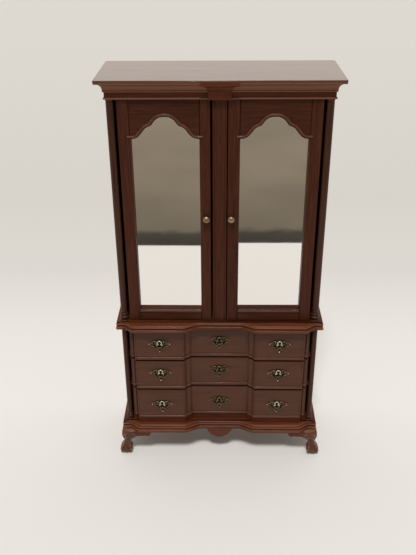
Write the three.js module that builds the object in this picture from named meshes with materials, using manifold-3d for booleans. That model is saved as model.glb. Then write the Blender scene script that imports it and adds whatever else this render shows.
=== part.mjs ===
// A 1:12 miniature armoire: two arched mirror doors over three block-front drawers.
// Millimetres, +Z up, front towards -Y. Inside the group, y = 0 is the front plane of the case, where
// the middle of the drawers lies. The group is shifted so that the origin lies on the floor, under
// the middle of the piece.
import * as THREE from 'three';
import { mergeVertices } from 'three/addons/utils/BufferGeometryUtils.js';
import Module from 'manifold-3d';

const wasm = await Module();
wasm.setup();

// ---------- Driving dimensions ----------
const CASE_WIDTH = 93;          // over the side panels
const CASE_DEPTH = 34;          // front plane to the back
const TOTAL_HEIGHT = 191.1;     // floor to the top of the top board
const SIDE_THICKNESS = 2;
const SIDE_SETBACK = 1.5;       // side panels start this far behind the front plane
const BACK_THICKNESS = 1;
const TOP_THICKNESS = 1;
const TOP_OVERHANG = 3.95;      // top board beyond the case, front and sides

const LEG_HEIGHT = 14.5;        // floor to the underside of the base board
const BASE_THICKNESS = 4.3;
const BASE_OVERHANG = 2.9;
const WAIST_THICKNESS = 3.5;
const WAIST_OVERHANG = 2.85;    // waist board beyond the case at the front
const WAIST_SIDE_OVERHANG = 2.5;
const BLOCK_PROJECTION = 3.3;   // the two blocks stand this far ahead of the centre
const BOARD_CORNER_INSET = 0.7; // boards: case side to the end of the corner's straight stretch
const BOARD_BLOCK_INSET = 7;    // boards: case side to the outer end of a block
const BOARD_BLOCK_INNER = 18.2; // boards: middle to the inner end of a block
const BOARD_CENTRE_HALF = 9.2;  // boards: half the straight stretch in the middle
const BOARD_CURVE_STEPS = 8;
const CORNICE_HEIGHT = 7.3;     // underside of the bead to the top board
const CORNICE_RAIL_LAP = 0.8;   // rail behind the cornice, beyond the back of the doors
const KEYSTONE_WIDTH = 9.5;
const KEYSTONE_PROJECTION = 1.3;

const DOOR_THICKNESS = 3.3;
const DOOR_SETBACK = 0.3;       // door face behind the front plane
const DOOR_SIDE_GAP = 1.1;      // door edge to the column
const DOOR_END_GAP = 0.3;       // above and below a door
const MEETING_GAP_LEFT = 0.85;  // left door to the centre stile
const MEETING_GAP_RIGHT = 0.35; // right door to the centre stile
const CENTRE_STILE_WIDTH = 6.1;
const STILE_WIDTH = 5.1;
const BOTTOM_RAIL_HEIGHT = 5.4;
const ARCH_RAIL_HEIGHT = 16.6;
const ARCH_RISE = 9.3;          // springing to the top of the arch
const MIRROR_THICKNESS = 0.5;
const MIRROR_LAP = 1;           // mirror behind the frame on each side
const PIN_RADIUS = 0.5;
const PIN_DEPTH = 2;            // into the door and into the board beyond it
const PIN_EDGE = 2.2;           // pin axis to the door's outer edge
const PIN_CLEARANCE = 0.25;     // pin to its bore in the case
const PIN_GRIP = 0.05;          // pin to its bore in the door
const KNOB_RISE = 52.4;         // bottom of the door to the knob
const KNOB_RADIUS = 1.5;

const UPPER_COLUMN_RADIUS = 1.55;
const LOWER_COLUMN_RADIUS = 1.25;
const UPPER_COLUMN_SETBACK = 0.9; // column axis behind the front plane
const LOWER_COLUMN_SETBACK = 0.5;
const COLUMN_FOOT_FLARE = 1.28; // widest turning against the shaft
const LOWER_COLUMN_OUTSET = 0.15; // lower column beyond the side panel

const DRAWER_FRONT_HEIGHTS = [17.1, 16.1, 15.1]; // bottom to top
const PULL_SHARES = [0.465, 0.55, 0.56];         // pull height as a share of its drawer front
const DRAWER_GAP = 1.1;         // between two drawer fronts
const TOP_DRAWER_GAP = 1.6;     // top drawer front to the waist board
const BOTTOM_DRAWER_LIFT = 3.3; // base board to the bottom drawer front
const DRAWER_SIDE_CLEARANCE = 0.4;
const DRAWER_FRONT_BACK = 2.1;  // flat back of the drawer front behind the front plane
const FRONT_CENTRE_HALF = 13.4; // half the hollow middle of a drawer front
const FRONT_BLOCK_INNER = 17;   // middle to the inner end of a block
const FRONT_BLOCK_INSET = 2.8;  // end of the drawer front to the outer end of a block
const FRONT_STRIP_INSET = 0.5;  // end of the drawer front to the narrow strip
const FRONT_STRIP_PROJECTION = 1.3;
const FRONT_LIP_DEPTH = 1.1;    // the ends of the front are stepped back this far
const DRAWER_BACK_CLEARANCE = 1.5;
const DRAWER_WALL = 1;
const DRAWER_BOTTOM_THICKNESS = 0.6;
const DRAWER_WALL_LIFT = 0.4;   // drawer walls above the lower edge of the front
const DRAWER_WALL_DROP = 2.5;   // drawer walls lower than the front
const DIVIDER_THICKNESS = 0.6;

const FOOT_BALL_RADIUS = 3.1;
const FOOT_KNEE_RADIUS = 3.9;
const FOOT_OUTSET = 2.2;        // ball centre beyond the case at the side
const FOOT_ADVANCE = 2.7;       // front ball centre ahead of the front plane
const BRACKET_DROP = 2.6;       // foot brackets below the base board
const BRACKET_REACH = 11.5;     // brackets along the base, from the case's corner or the foot
const BRACKET_THICKNESS = 1.6;
const PENDANT_WIDTH = 13.6;
const PENDANT_DROP = 6;
const PENDANT_THICKNESS = 1.8;
const PULL_WIDTH = 11;
const PULL_THICKNESS = 0.7;
const PULL_INSET = 0.2;         // outer pulls, from the middle of a block towards the centre
const SEAT_GAP = 0.3;           // between a carved piece and the one cut to fit it

// ---------- Levels and planes worked out from them ----------
const halfCase = CASE_WIDTH / 2;
const sideInner = halfCase - SIDE_THICKNESS;
const backFront = CASE_DEPTH - BACK_THICKNESS;
const baseTop = LEG_HEIGHT + BASE_THICKNESS;
const drawerStack = DRAWER_FRONT_HEIGHTS.reduce((sum, height) => sum + height + DRAWER_GAP, -DRAWER_GAP);
const waistUnderside = baseTop + BOTTOM_DRAWER_LIFT + drawerStack + TOP_DRAWER_GAP;
const waistTop = waistUnderside + WAIST_THICKNESS;
const topUnderside = TOTAL_HEIGHT - TOP_THICKNESS;
const corniceUnderside = topUnderside - CORNICE_HEIGHT;
const doorBottom = waistTop + DOOR_END_GAP;
const doorTop = corniceUnderside - DOOR_END_GAP;
const doorBack = DOOR_SETBACK + DOOR_THICKNESS;
const doorMiddle = DOOR_SETBACK + DOOR_THICKNESS / 2;
const upperColumnX = halfCase - UPPER_COLUMN_RADIUS;
const lowerColumnX = halfCase + LOWER_COLUMN_OUTSET - LOWER_COLUMN_RADIUS;
const columnInner = lowerColumnX - LOWER_COLUMN_RADIUS * COLUMN_FOOT_FLARE;
const drawerHalf = Math.min(columnInner, sideInner) - DRAWER_SIDE_CLEARANCE;
const frontBlockOuter = drawerHalf - FRONT_BLOCK_INSET;
const doorOuter = upperColumnX - UPPER_COLUMN_RADIUS - DOOR_SIDE_GAP;
const pinX = doorOuter - PIN_EDGE;
const mirrorFront = doorBack - MIRROR_THICKNESS;
const frontmost = BLOCK_PROJECTION + Math.max(BASE_OVERHANG, WAIST_OVERHANG);

// ---------- Finishes ----------
const finishes = {
  mahogany: { color: 0x4a2618, roughness: 0.4, metalness: 0 },
  moulding: { color: 0x6d3a26, roughness: 0.32, metalness: 0 },
  plainWood: { color: 0x8a6a4a, roughness: 0.7, metalness: 0 },
  mirror: { color: 0xd8d8d4, roughness: 0.05, metalness: 1 },
  brass: { color: 0x8f8460, roughness: 0.45, metalness: 0.9 },
};

const armoire = new THREE.Group();
armoire.position.y = (frontmost - CASE_DEPTH) / 2;

// Adds one sub-part: its own mesh with its own material.
function addPart(name, geometry, finish) {
  const mesh = new THREE.Mesh(geometry, new THREE.MeshStandardMaterial(finishes[finish]));
  mesh.name = name;
  armoire.add(mesh);
  return mesh;
}

// ---------- Shapes ----------
function box(x0, x1, y0, y1, z0, z1) {
  const geometry = new THREE.BoxGeometry(Math.abs(x1 - x0), y1 - y0, z1 - z0);
  return geometry.translate((x0 + x1) / 2, (y0 + y1) / 2, (z0 + z1) / 2);
}

// A plan outline (x, y) raised from z0 to z1.
function raised(points, z0, z1) {
  const shape = new THREE.Shape(points.map(([x, y]) => new THREE.Vector2(x, y)));
  const geometry = new THREE.ExtrudeGeometry(shape, { depth: z1 - z0, bevelEnabled: false });
  return geometry.translate(0, 0, z0);
}

// A front outline (x, z), as a shape, given its thickness from y0 back to y1.
function slab(shape, y0, y1) {
  const geometry = new THREE.ExtrudeGeometry(shape, {
    depth: y1 - y0,
    bevelEnabled: false,
    curveSegments: 8,
  });
  return geometry.rotateX(Math.PI / 2).translate(0, y1, 0);
}

// A turned shape on a vertical axis; the profile lists [radius, z] from bottom to top.
function turned(profile, x, y, sides) {
  const points = profile.map(([radius, z]) => new THREE.Vector2(radius, z));
  points.unshift(new THREE.Vector2(0, profile[0][1]));
  points.push(new THREE.Vector2(0, profile[profile.length - 1][1]));
  return new THREE.LatheGeometry(points, sides).rotateX(Math.PI / 2).translate(x, y, 0);
}

// Closed rings of equal length, lowest first and anticlockwise from above, joined and capped.
function loft(rings) {
  const size = rings[0].length;
  const positions = rings.flat().flatMap((point) => [point.x, point.y, point.z]);
  const faces = [];
  for (let level = 0; level < rings.length - 1; level += 1) {
    for (let i = 0; i < size; i += 1) {
      const a = level * size + i;
      const b = level * size + ((i + 1) % size);
      faces.push(a, b, b + size, a, b + size, a + size);
    }
  }
  const top = (rings.length - 1) * size;
  const flat = (ring) => ring.map((point) => new THREE.Vector2(point.x, point.y));
  for (const [a, b, c] of THREE.ShapeUtils.triangulateShape(flat(rings[0]), [])) {
    faces.push(a, c, b);
  }
  for (const [a, b, c] of THREE.ShapeUtils.triangulateShape(flat(rings[rings.length - 1]), [])) {
    faces.push(top + a, top + b, top + c);
  }
  const geometry = new THREE.BufferGeometry();
  geometry.setAttribute('position', new THREE.Float32BufferAttribute(positions, 3));
  geometry.setIndex(faces);
  return geometry;
}

// ---------- Cutting and joining ----------
function solid(geometry) {
  const bare = geometry.clone();
  bare.deleteAttribute('normal');
  bare.deleteAttribute('uv');
  const merged = mergeVertices(bare, 1e-5);
  return new wasm.Manifold(new wasm.Mesh({
    numProp: 3,
    vertProperties: Float32Array.from(merged.attributes.position.array),
    triVerts: Uint32Array.from(merged.index.array),
  }));
}

function geometryOf(manifold) {
  const mesh = manifold.getMesh();
  const geometry = new THREE.BufferGeometry();
  geometry.setAttribute('position', new THREE.BufferAttribute(mesh.vertProperties, 3));
  geometry.setIndex(new THREE.BufferAttribute(mesh.triVerts, 1));
  return geometry;
}

function joined(first, ...rest) {
  return geometryOf(rest.reduce((all, one) => all.add(solid(one)), solid(first)));
}

function cut(first, ...tools) {
  return geometryOf(tools.reduce((all, one) => all.subtract(solid(one)), solid(first)));
}

// ---------- Moulded boards ----------
// The front edge of the waist and base boards: corner, S-curve out to a block, S-curve back to the
// centre, and the same mirrored. The points run from the left corner to the right one.
function boardOutline(overhang, sideOverhang) {
  const right = [];
  const sCurve = (x0, x1, from, to) => {
    for (let step = 0; step <= BOARD_CURVE_STEPS; step += 1) {
      const t = step / BOARD_CURVE_STEPS;
      const ease = (1 - Math.cos(Math.PI * t)) / 2;
      right.push([x0 + (x1 - x0) * t, -overhang - from - (to - from) * ease]);
    }
  };
  sCurve(BOARD_CENTRE_HALF, BOARD_BLOCK_INNER, 0, BLOCK_PROJECTION);
  sCurve(halfCase - BOARD_BLOCK_INSET, halfCase - BOARD_CORNER_INSET, BLOCK_PROJECTION, 0);
  right.push([halfCase + sideOverhang, -overhang], [halfCase + sideOverhang, CASE_DEPTH]);
  const left = right.map(([x, y]) => [-x, y]).reverse();
  return [...left, ...right];
}

// A board whose front and side edges carry a profile of [inset, z], lowest first. The back stays flat.
function mouldedBoard(outline, profile) {
  const count = outline.length;
  const inward = outline.map(([x, y], i) => {
    if (y === CASE_DEPTH) return [-Math.sign(x), 0];
    const before = outline[(i + count - 1) % count];
    const after = outline[(i + 1) % count];
    const normal = (a, b) => new THREE.Vector2(a[1] - b[1], b[0] - a[0]).normalize();
    const n0 = normal(before, [x, y]);
    const n1 = normal([x, y], after);
    const mitre = n0.clone().add(n1).normalize();
    return mitre.divideScalar(mitre.dot(n0)).toArray();
  });
  const rings = profile.map(([inset, z]) => outline.map(([x, y], i) => {
    const [inX, inY] = inward[i];
    return new THREE.Vector3(x + inset * inX, y + inset * inY, z);
  }));
  return loft(rings);
}

// ---------- Case ----------
function pinBore(side, z0, z1) {
  return turned([[PIN_RADIUS + PIN_CLEARANCE, z0], [PIN_RADIUS + PIN_CLEARANCE, z1]],
    side * pinX, doorMiddle, 12);
}

function waistBoard() {
  const z = (share) => waistUnderside + WAIST_THICKNESS * share;
  const profile = [
    [0.4, z(0)], [0.1, z(0.07)], [0, z(0.2)], [0.08, z(0.36)], [0.35, z(0.5)], [0.75, z(0.6)],
    [0.85, z(0.7)], [0.65, z(0.78)], [0.65, z(0.88)], [0.95, z(0.97)], [1.4, z(1)],
  ];
  const board = mouldedBoard(boardOutline(WAIST_OVERHANG, WAIST_SIDE_OVERHANG), profile);
  const low = waistUnderside - 1;
  const high = waistTop + 1;
  const beyond = CASE_DEPTH + 1;
  return cut(
    board,
    box(-halfCase, -sideInner, SIDE_SETBACK, beyond, low, high),
    box(sideInner, halfCase, SIDE_SETBACK, beyond, low, high),
    box(-sideInner - 0.5, sideInner + 0.5, backFront, beyond, low, high),
    pinBore(-1, waistTop - PIN_DEPTH, high),
    pinBore(1, waistTop - PIN_DEPTH, high),
  );
}

function baseBoard() {
  const z = (share) => LEG_HEIGHT + BASE_THICKNESS * share;
  const profile = [
    [0.3, z(0)], [0, z(0.08)], [0, z(0.27)], [0.25, z(0.38)], [0.7, z(0.47)],
    [0.75, z(0.55)], [0.45, z(0.63)], [0.4, z(0.75)], [0.75, z(0.87)], [1.5, z(1)],
  ];
  return mouldedBoard(boardOutline(BASE_OVERHANG, BASE_OVERHANG), profile);
}

// The cornice strip runs round the front and both sides; the front rail behind it holds the pins.
function cornice() {
  const z = (share) => corniceUnderside + CORNICE_HEIGHT * share;
  const reach = TOP_OVERHANG;
  const profile = [
    [0, z(0)], [0.45, z(0)], [0.6, z(0.06)], [0.45, z(0.12)], [0.3, z(0.14)], [0.3, z(0.44)],
    [0.55, z(0.47)], [0.55, z(0.54)], [reach * 0.28, z(0.6)], [reach * 0.48, z(0.74)],
    [reach * 0.74, z(0.88)], [reach * 0.9, z(0.93)], [reach * 0.92, z(1)], [0, z(1)],
  ];
  const places = [
    [-halfCase, CASE_DEPTH, -1, 0], [-halfCase, 0, -1, -1],
    [halfCase, 0, 1, -1], [halfCase, CASE_DEPTH, 1, 0],
  ];
  const rings = places.map(([x, y, dx, dy]) =>
    profile.map(([p, height]) => new THREE.Vector3(x + dx * p, y + dy * p, height)));
  return cut(
    joined(
      sweep(rings),
      box(-halfCase, halfCase, -0.1, SIDE_SETBACK, corniceUnderside, topUnderside),
      box(-sideInner, sideInner, SIDE_SETBACK - 0.1, doorBack + CORNICE_RAIL_LAP,
        corniceUnderside, topUnderside),
    ),
    keystoneSolid(SEAT_GAP),
    pinBore(-1, corniceUnderside - 1, corniceUnderside + PIN_DEPTH),
    pinBore(1, corniceUnderside - 1, corniceUnderside + PIN_DEPTH),
  );
}

// Sections of one closed profile set along a path, joined and closed at both ends.
function sweep(rings) {
  const size = rings[0].length;
  const positions = rings.flat().flatMap((point) => [point.x, point.y, point.z]);
  const faces = [];
  for (let place = 0; place < rings.length - 1; place += 1) {
    for (let i = 0; i < size; i += 1) {
      const a = place * size + i;
      const b = place * size + ((i + 1) % size);
      faces.push(a, b + size, b, a, a + size, b + size);
    }
  }
  const last = (rings.length - 1) * size;
  const section = rings[0].map((point) => new THREE.Vector2(-point.x, point.z));
  for (const [a, b, c] of THREE.ShapeUtils.triangulateShape(section, [])) {
    faces.push(a, b, c, last + a, last + c, last + b);
  }
  const geometry = new THREE.BufferGeometry();
  geometry.setAttribute('position', new THREE.Float32BufferAttribute(positions, 3));
  geometry.setIndex(faces);
  return geometry;
}

// The block in the middle of the cornice: a plain face at the frieze, a cove that spreads, a fascia.
function keystoneSolid(margin) {
  const spread = (TOP_OVERHANG - KEYSTONE_PROJECTION) * 1.2;
  const levels = [[0, 0], [0.36, 0], [0.44, 0.1], [0.52, 0.35], [0.6, 0.85], [0.62, 1], [1, 1]];
  const rings = levels.map(([share, flare]) => {
    const half = KEYSTONE_WIDTH / 2 + flare * spread + margin;
    const front = -KEYSTONE_PROJECTION - flare * (TOP_OVERHANG - KEYSTONE_PROJECTION - 0.1) - margin;
    const under = share === 0 ? margin : 0;
    const z = corniceUnderside + CORNICE_HEIGHT * share - under;
    const corners = [[-half, front], [half, front], [half, 0], [-half, 0]];
    return corners.map(([x, y]) => new THREE.Vector3(x, y, z));
  });
  return loft(rings);
}

addPart('top_board', box(-halfCase - TOP_OVERHANG, halfCase + TOP_OVERHANG, -TOP_OVERHANG, CASE_DEPTH,
  topUnderside, TOTAL_HEIGHT), 'moulding');
addPart('cornice', cornice(), 'moulding');
addPart('keystone', keystoneSolid(0), 'moulding');
addPart('side_left', box(-halfCase, -sideInner, SIDE_SETBACK, CASE_DEPTH,
  baseTop, topUnderside), 'mahogany');
addPart('side_right', box(sideInner, halfCase, SIDE_SETBACK, CASE_DEPTH,
  baseTop, topUnderside), 'mahogany');
addPart('back_panel', box(-sideInner, sideInner, backFront, CASE_DEPTH,
  baseTop, topUnderside), 'mahogany');
addPart('waist_board', waistBoard(), 'moulding');
addPart('base_board', baseBoard(), 'moulding');
addPart('centre_stile', box(-CENTRE_STILE_WIDTH / 2, CENTRE_STILE_WIDTH / 2, DOOR_SETBACK, doorBack,
  waistTop, corniceUnderside), 'mahogany');

// ---------- Columns ----------
// A round shaft with a ringed and balled foot, flat at the back where it meets the side panel.
function column(x, y, radius, z0, z1) {
  const profile = [
    [radius * 1.22, z0], [radius * 1.22, z0 + 0.7], [radius * 0.85, z0 + 1],
    [radius * 1.2, z0 + 1.6], [radius * COLUMN_FOOT_FLARE, z0 + 2.3], [radius * 1.1, z0 + 3],
    [radius * 0.8, z0 + 3.4], [radius * 1.15, z0 + 3.8], [radius * 1.15, z0 + 4.2],
    [radius * 0.92, z0 + 4.5], [radius, z0 + 5], [radius, z1 - 1.2],
    [radius * 0.85, z1 - 0.9], [radius * 1.05, z1 - 0.6], [radius * 1.05, z1],
  ];
  const shaft = turned(profile, x, y, 12);
  const behind = box(-CASE_WIDTH, CASE_WIDTH, SIDE_SETBACK, SIDE_SETBACK + 4 * radius, z0 - 1, z1 + 1);
  return cut(shaft, behind);
}

for (const [label, side] of [['left', -1], ['right', 1]]) {
  addPart(`upper_column_${label}`, column(side * upperColumnX, UPPER_COLUMN_SETBACK,
    UPPER_COLUMN_RADIUS, waistTop, corniceUnderside), 'mahogany');
  addPart(`lower_column_${label}`, column(side * lowerColumnX, LOWER_COLUMN_SETBACK,
    LOWER_COLUMN_RADIUS, baseTop, waistUnderside), 'mahogany');
}

// ---------- Feet and pendant ----------
// A cabriole foot: knee block, slim ankle, and a ball that stands on the floor.
function foot(side, end) {
  const front = end === 'front';
  const ballX = halfCase + FOOT_OUTSET;
  const ballY = front ? -FOOT_ADVANCE : CASE_DEPTH - FOOT_KNEE_RADIUS;
  const lean = front ? 1 : 0;
  const levels = [ // [share of the height, radius, step in from the ball's axis]
    [0, 1.9, 0], [0.04, 2.6, 0], [0.11, 3, 0], [0.19, FOOT_BALL_RADIUS, 0], [0.27, 2.9, 0.1],
    [0.35, 2.3, 0.5], [0.43, 1.9, 1], [0.5, 1.9, 1.4], [0.58, 2.3, 1.7], [0.68, 3.1, 1.9],
    [0.79, 3.7, 2.1], [0.88, FOOT_KNEE_RADIUS, 2.4], [1, 3.5, 2.9],
  ];
  const sides = 12;
  const rings = levels.map(([share, radius, step]) => Array.from({ length: sides }, (_, i) => {
    const angle = (i / sides) * 2 * Math.PI;
    const x = side * (ballX - step) + radius * Math.cos(angle);
    const y = ballY + lean * step * 0.5 + radius * Math.sin(angle);
    return new THREE.Vector3(x, y, share * LEG_HEIGHT);
  }));
  const low = LEG_HEIGHT - BRACKET_DROP;
  const outer = halfCase + BASE_OVERHANG - 0.8;
  const span = [side * outer, side * (outer - BRACKET_THICKNESS)].sort((a, b) => a - b);
  const sideBracket = box(...span, front ? ballY : ballY - BRACKET_REACH,
    front ? ballY + BRACKET_REACH : ballY, low, LEG_HEIGHT);
  if (!front) return joined(loft(rings), sideBracket);
  const face = -BASE_OVERHANG - BLOCK_PROJECTION + 0.7;
  const back = face + BRACKET_THICKNESS;
  const plan = [
    [2, -0.5], [2, face + 3.2], [5.2, face], [BRACKET_REACH, face], [BRACKET_REACH, back],
    [6, back], [4.1, -0.5],
  ].map(([inset, y]) => [side * (halfCase - inset), y]);
  return joined(loft(rings), sideBracket, raised(side > 0 ? plan.reverse() : plan, low, LEG_HEIGHT));
}

for (const [label, side] of [['left', -1], ['right', 1]]) {
  addPart(`foot_front_${label}`, foot(side, 'front'), 'moulding');
  addPart(`foot_rear_${label}`, foot(side, 'rear'), 'moulding');
}

// The drop under the middle of the base: two hollow shoulders and a round lobe.
function pendant() {
  const shape = new THREE.Shape();
  const half = PENDANT_WIDTH / 2;
  const z = (share) => LEG_HEIGHT - PENDANT_DROP * share;
  shape.moveTo(-half, z(0));
  shape.lineTo(-half, z(0.1));
  shape.quadraticCurveTo(-half * 0.86, z(0.2), -half * 0.7, z(0.5));
  shape.quadraticCurveTo(-half * 0.45, z(1), 0, z(1));
  shape.quadraticCurveTo(half * 0.45, z(1), half * 0.7, z(0.5));
  shape.quadraticCurveTo(half * 0.86, z(0.2), half, z(0.1));
  shape.lineTo(half, z(0));
  const front = -BASE_OVERHANG + 0.4;
  return slab(shape, front, front + PENDANT_THICKNESS);
}

addPart('pendant', pendant(), 'moulding');

// ---------- Doors ----------
// Each door is a frame of two stiles, a bottom rail and an arched top rail, rebated for the mirror.
const doors = [
  { label: 'left', side: -1, meeting: CENTRE_STILE_WIDTH / 2 + MEETING_GAP_LEFT, knobInset: 1.9 },
  { label: 'right', side: 1, meeting: CENTRE_STILE_WIDTH / 2 + MEETING_GAP_RIGHT, knobInset: 1.6 },
];

// The arched opening cut in the top rail, from one springing to the other.
function archOpening(shape, centre, half, springing) {
  const rise = ARCH_RISE;
  const ear = half * 0.2;
  const cusp = half * 0.38;
  shape.lineTo(centre + half, springing);
  shape.lineTo(centre + half - ear, springing + 0.3);
  shape.bezierCurveTo(centre + half * 0.56, springing + rise * 0.08, centre + half * 0.56,
    springing + rise * 0.5, centre + cusp, springing + rise * 0.62);
  shape.quadraticCurveTo(centre + half * 0.26, springing + rise, centre, springing + rise);
  shape.quadraticCurveTo(centre - half * 0.26, springing + rise,
    centre - cusp, springing + rise * 0.62);
  shape.bezierCurveTo(centre - half * 0.56, springing + rise * 0.5, centre - half * 0.56,
    springing + rise * 0.08, centre - half + ear, springing + 0.3);
  shape.lineTo(centre - half, springing);
}

for (const { label, side, meeting, knobInset } of doors) {
  const openingOuter = doorOuter - STILE_WIDTH;
  const openingInner = CENTRE_STILE_WIDTH / 2 + MEETING_GAP_RIGHT + STILE_WIDTH;
  const centre = side * (openingOuter + openingInner) / 2;
  const half = (openingOuter - openingInner) / 2;
  const railTop = doorBottom + BOTTOM_RAIL_HEIGHT;
  const springing = doorTop - ARCH_RAIL_HEIGHT;
  const mirrorTop = springing + ARCH_RISE + MIRROR_LAP;
  const span = (a, b) => [Math.min(side * a, side * b), Math.max(side * a, side * b)];
  const mirrorSpace = box(...span(openingInner - MIRROR_LAP, openingOuter + MIRROR_LAP), mirrorFront,
    doorBack + 1, railTop - MIRROR_LAP, mirrorTop);
  const stileBore = (z0, z1) => turned([[PIN_RADIUS + PIN_GRIP, z0], [PIN_RADIUS + PIN_GRIP, z1]],
    side * pinX, doorMiddle, 12);

  addPart(`door_${label}_hinge_stile`, cut(
    box(...span(openingOuter, doorOuter), DOOR_SETBACK, doorBack, doorBottom, doorTop),
    mirrorSpace,
    stileBore(doorBottom - 1, doorBottom + PIN_DEPTH),
    stileBore(doorTop - PIN_DEPTH, doorTop + 1),
  ), 'mahogany');
  addPart(`door_${label}_meeting_stile`, cut(
    box(...span(meeting, openingInner), DOOR_SETBACK, doorBack, doorBottom, doorTop),
    mirrorSpace,
  ), 'mahogany');
  addPart(`door_${label}_bottom_rail`, cut(
    box(...span(openingInner, openingOuter), DOOR_SETBACK, doorBack, doorBottom, railTop),
    mirrorSpace,
  ), 'mahogany');

  const arch = new THREE.Shape();
  arch.moveTo(centre - half, springing);
  arch.lineTo(centre - half, doorTop);
  arch.lineTo(centre + half, doorTop);
  archOpening(arch, centre, half, springing);
  const archedRail = cut(slab(arch, DOOR_SETBACK, doorBack), mirrorSpace);
  addPart(`door_${label}_arched_rail`, archedRail, 'mahogany');

  addPart(`door_${label}_mirror`, box(...span(openingInner - MIRROR_LAP, openingOuter + MIRROR_LAP),
    mirrorFront, doorBack, railTop - MIRROR_LAP, mirrorTop), 'mirror');

  const knob = turned([
    [0.5, 0], [0.5, 0.9], [KNOB_RADIUS * 0.8, 1.2], [KNOB_RADIUS, 1.8], [KNOB_RADIUS * 0.85, 2.4],
    [KNOB_RADIUS * 0.4, 2.75],
  ], 0, 0, 12).rotateX(Math.PI / 2);
  knob.translate(side * (meeting + knobInset), DOOR_SETBACK, doorBottom + KNOB_RISE);
  addPart(`door_${label}_knob`, knob, 'brass');

  const pin = (z0, z1) => turned([[PIN_RADIUS, z0], [PIN_RADIUS, z1]], side * pinX, doorMiddle, 12);
  const pinFree = PIN_DEPTH - SEAT_GAP;
  addPart(`door_${label}_lower_pin`, pin(waistTop - pinFree, doorBottom + PIN_DEPTH), 'brass');
  addPart(`door_${label}_upper_pin`, pin(doorTop - PIN_DEPTH, corniceUnderside + pinFree), 'brass');
}

// ---------- Drawers ----------
// Plan of a drawer front, seen from above: flat back, narrow end strips, two blocks, hollow centre.
function drawerFrontPlan() {
  const strip = drawerHalf - FRONT_STRIP_INSET;
  const right = [
    [FRONT_CENTRE_HALF, 0], [FRONT_CENTRE_HALF + 0.9, -0.9], [FRONT_CENTRE_HALF + 2, -1.6],
    [FRONT_BLOCK_INNER - 0.3, -BLOCK_PROJECTION + 0.5], [FRONT_BLOCK_INNER, -BLOCK_PROJECTION],
    [frontBlockOuter, -BLOCK_PROJECTION], [frontBlockOuter + 0.3, -FRONT_STRIP_PROJECTION],
    [strip, -FRONT_STRIP_PROJECTION], [strip, FRONT_LIP_DEPTH],
    [drawerHalf, FRONT_LIP_DEPTH], [drawerHalf, DRAWER_FRONT_BACK],
  ];
  const left = right.map(([x, y]) => [-x, y]).reverse();
  return [...left, ...right];
}

// A pierced batwing pull in one casting: two scrolled wings, a keyhole ring and a pointed drop.
function pullShape() {
  const s = PULL_WIDTH / 11;
  const half = [[5.4, 0.3], [4.6, 1.1], [3.6, 0.9], [2.7, 1.7], [1.9, 1.3], [1.6, 2.5], [0.8, 3.1]];
  const lower = [[0.9, -3.2], [1.7, -2.6], [2.4, -1.9], [3.4, -1.5], [4.4, -0.7]];
  const shape = new THREE.Shape();
  shape.moveTo(0, 3.3 * s);
  for (const [x, z] of [...half].reverse()) shape.lineTo(-x * s, z * s);
  for (const [x, z] of [...lower].reverse()) shape.lineTo(-x * s, z * s);
  shape.lineTo(0, -4 * s);
  for (const [x, z] of lower) shape.lineTo(x * s, z * s);
  for (const [x, z] of half) shape.lineTo(x * s, z * s);
  const hole = (x, z, radius) => {
    const path = new THREE.Path();
    path.absarc(x * s, z * s, radius * s, 0, 2 * Math.PI, true);
    shape.holes.push(path);
  };
  hole(0, 1.6, 0.6);
  hole(0, -2.9, 0.4);
  hole(-3.3, -0.1, 0.6);
  hole(3.3, -0.1, 0.6);
  return shape;
}

function pull() {
  const plate = new THREE.ExtrudeGeometry(pullShape(), {
    depth: PULL_THICKNESS,
    bevelEnabled: false,
    curveSegments: 6,
  });
  return plate.rotateX(Math.PI / 2);
}

const drawerNames = ['bottom', 'middle', 'top'];
let frontLow = baseTop + BOTTOM_DRAWER_LIFT;
drawerNames.forEach((name, i) => {
  const frontHeight = DRAWER_FRONT_HEIGHTS[i];
  const frontHigh = frontLow + frontHeight;
  const wallLow = frontLow + DRAWER_WALL_LIFT;
  const wallHigh = frontHigh - DRAWER_WALL_DROP;
  const rear = backFront - DRAWER_BACK_CLEARANCE;
  const floorTop = wallLow + DRAWER_BOTTOM_THICKNESS;
  const inside = drawerHalf - DRAWER_WALL;
  addPart(`drawer_${name}_front`, raised(drawerFrontPlan(), frontLow, frontHigh), 'mahogany');
  addPart(`drawer_${name}_side_left`, box(-drawerHalf, -inside, DRAWER_FRONT_BACK, rear,
    wallLow, wallHigh), 'plainWood');
  addPart(`drawer_${name}_side_right`, box(inside, drawerHalf, DRAWER_FRONT_BACK, rear,
    wallLow, wallHigh), 'plainWood');
  addPart(`drawer_${name}_back`, box(-inside, inside, rear - DRAWER_WALL, rear,
    floorTop, wallHigh), 'plainWood');
  addPart(`drawer_${name}_bottom`, box(-inside, inside, DRAWER_FRONT_BACK, rear,
    wallLow, floorTop), 'plainWood');

  const pullX = (FRONT_BLOCK_INNER + frontBlockOuter) / 2 - PULL_INSET;
  const pullZ = frontLow + frontHeight * PULL_SHARES[i];
  for (const [place, x, face] of [
    ['left', -pullX, -BLOCK_PROJECTION], ['centre', 0, 0], ['right', pullX, -BLOCK_PROJECTION],
  ]) {
    addPart(`drawer_${name}_pull_${place}`, pull().translate(x, face, pullZ), 'brass');
  }

  if (i < drawerNames.length - 1) {
    const middle = frontHigh + DRAWER_GAP / 2;
    addPart(i === 0 ? 'divider_lower' : 'divider_upper', box(-sideInner, sideInner, SIDE_SETBACK,
      backFront, middle - DIVIDER_THICKNESS / 2, middle + DIVIDER_THICKNESS / 2), 'plainWood');
  }
  frontLow = frontHigh + DRAWER_GAP;
});

export default armoire;
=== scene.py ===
import math

import bmesh
import bpy
from mathutils import Matrix, Vector


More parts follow.
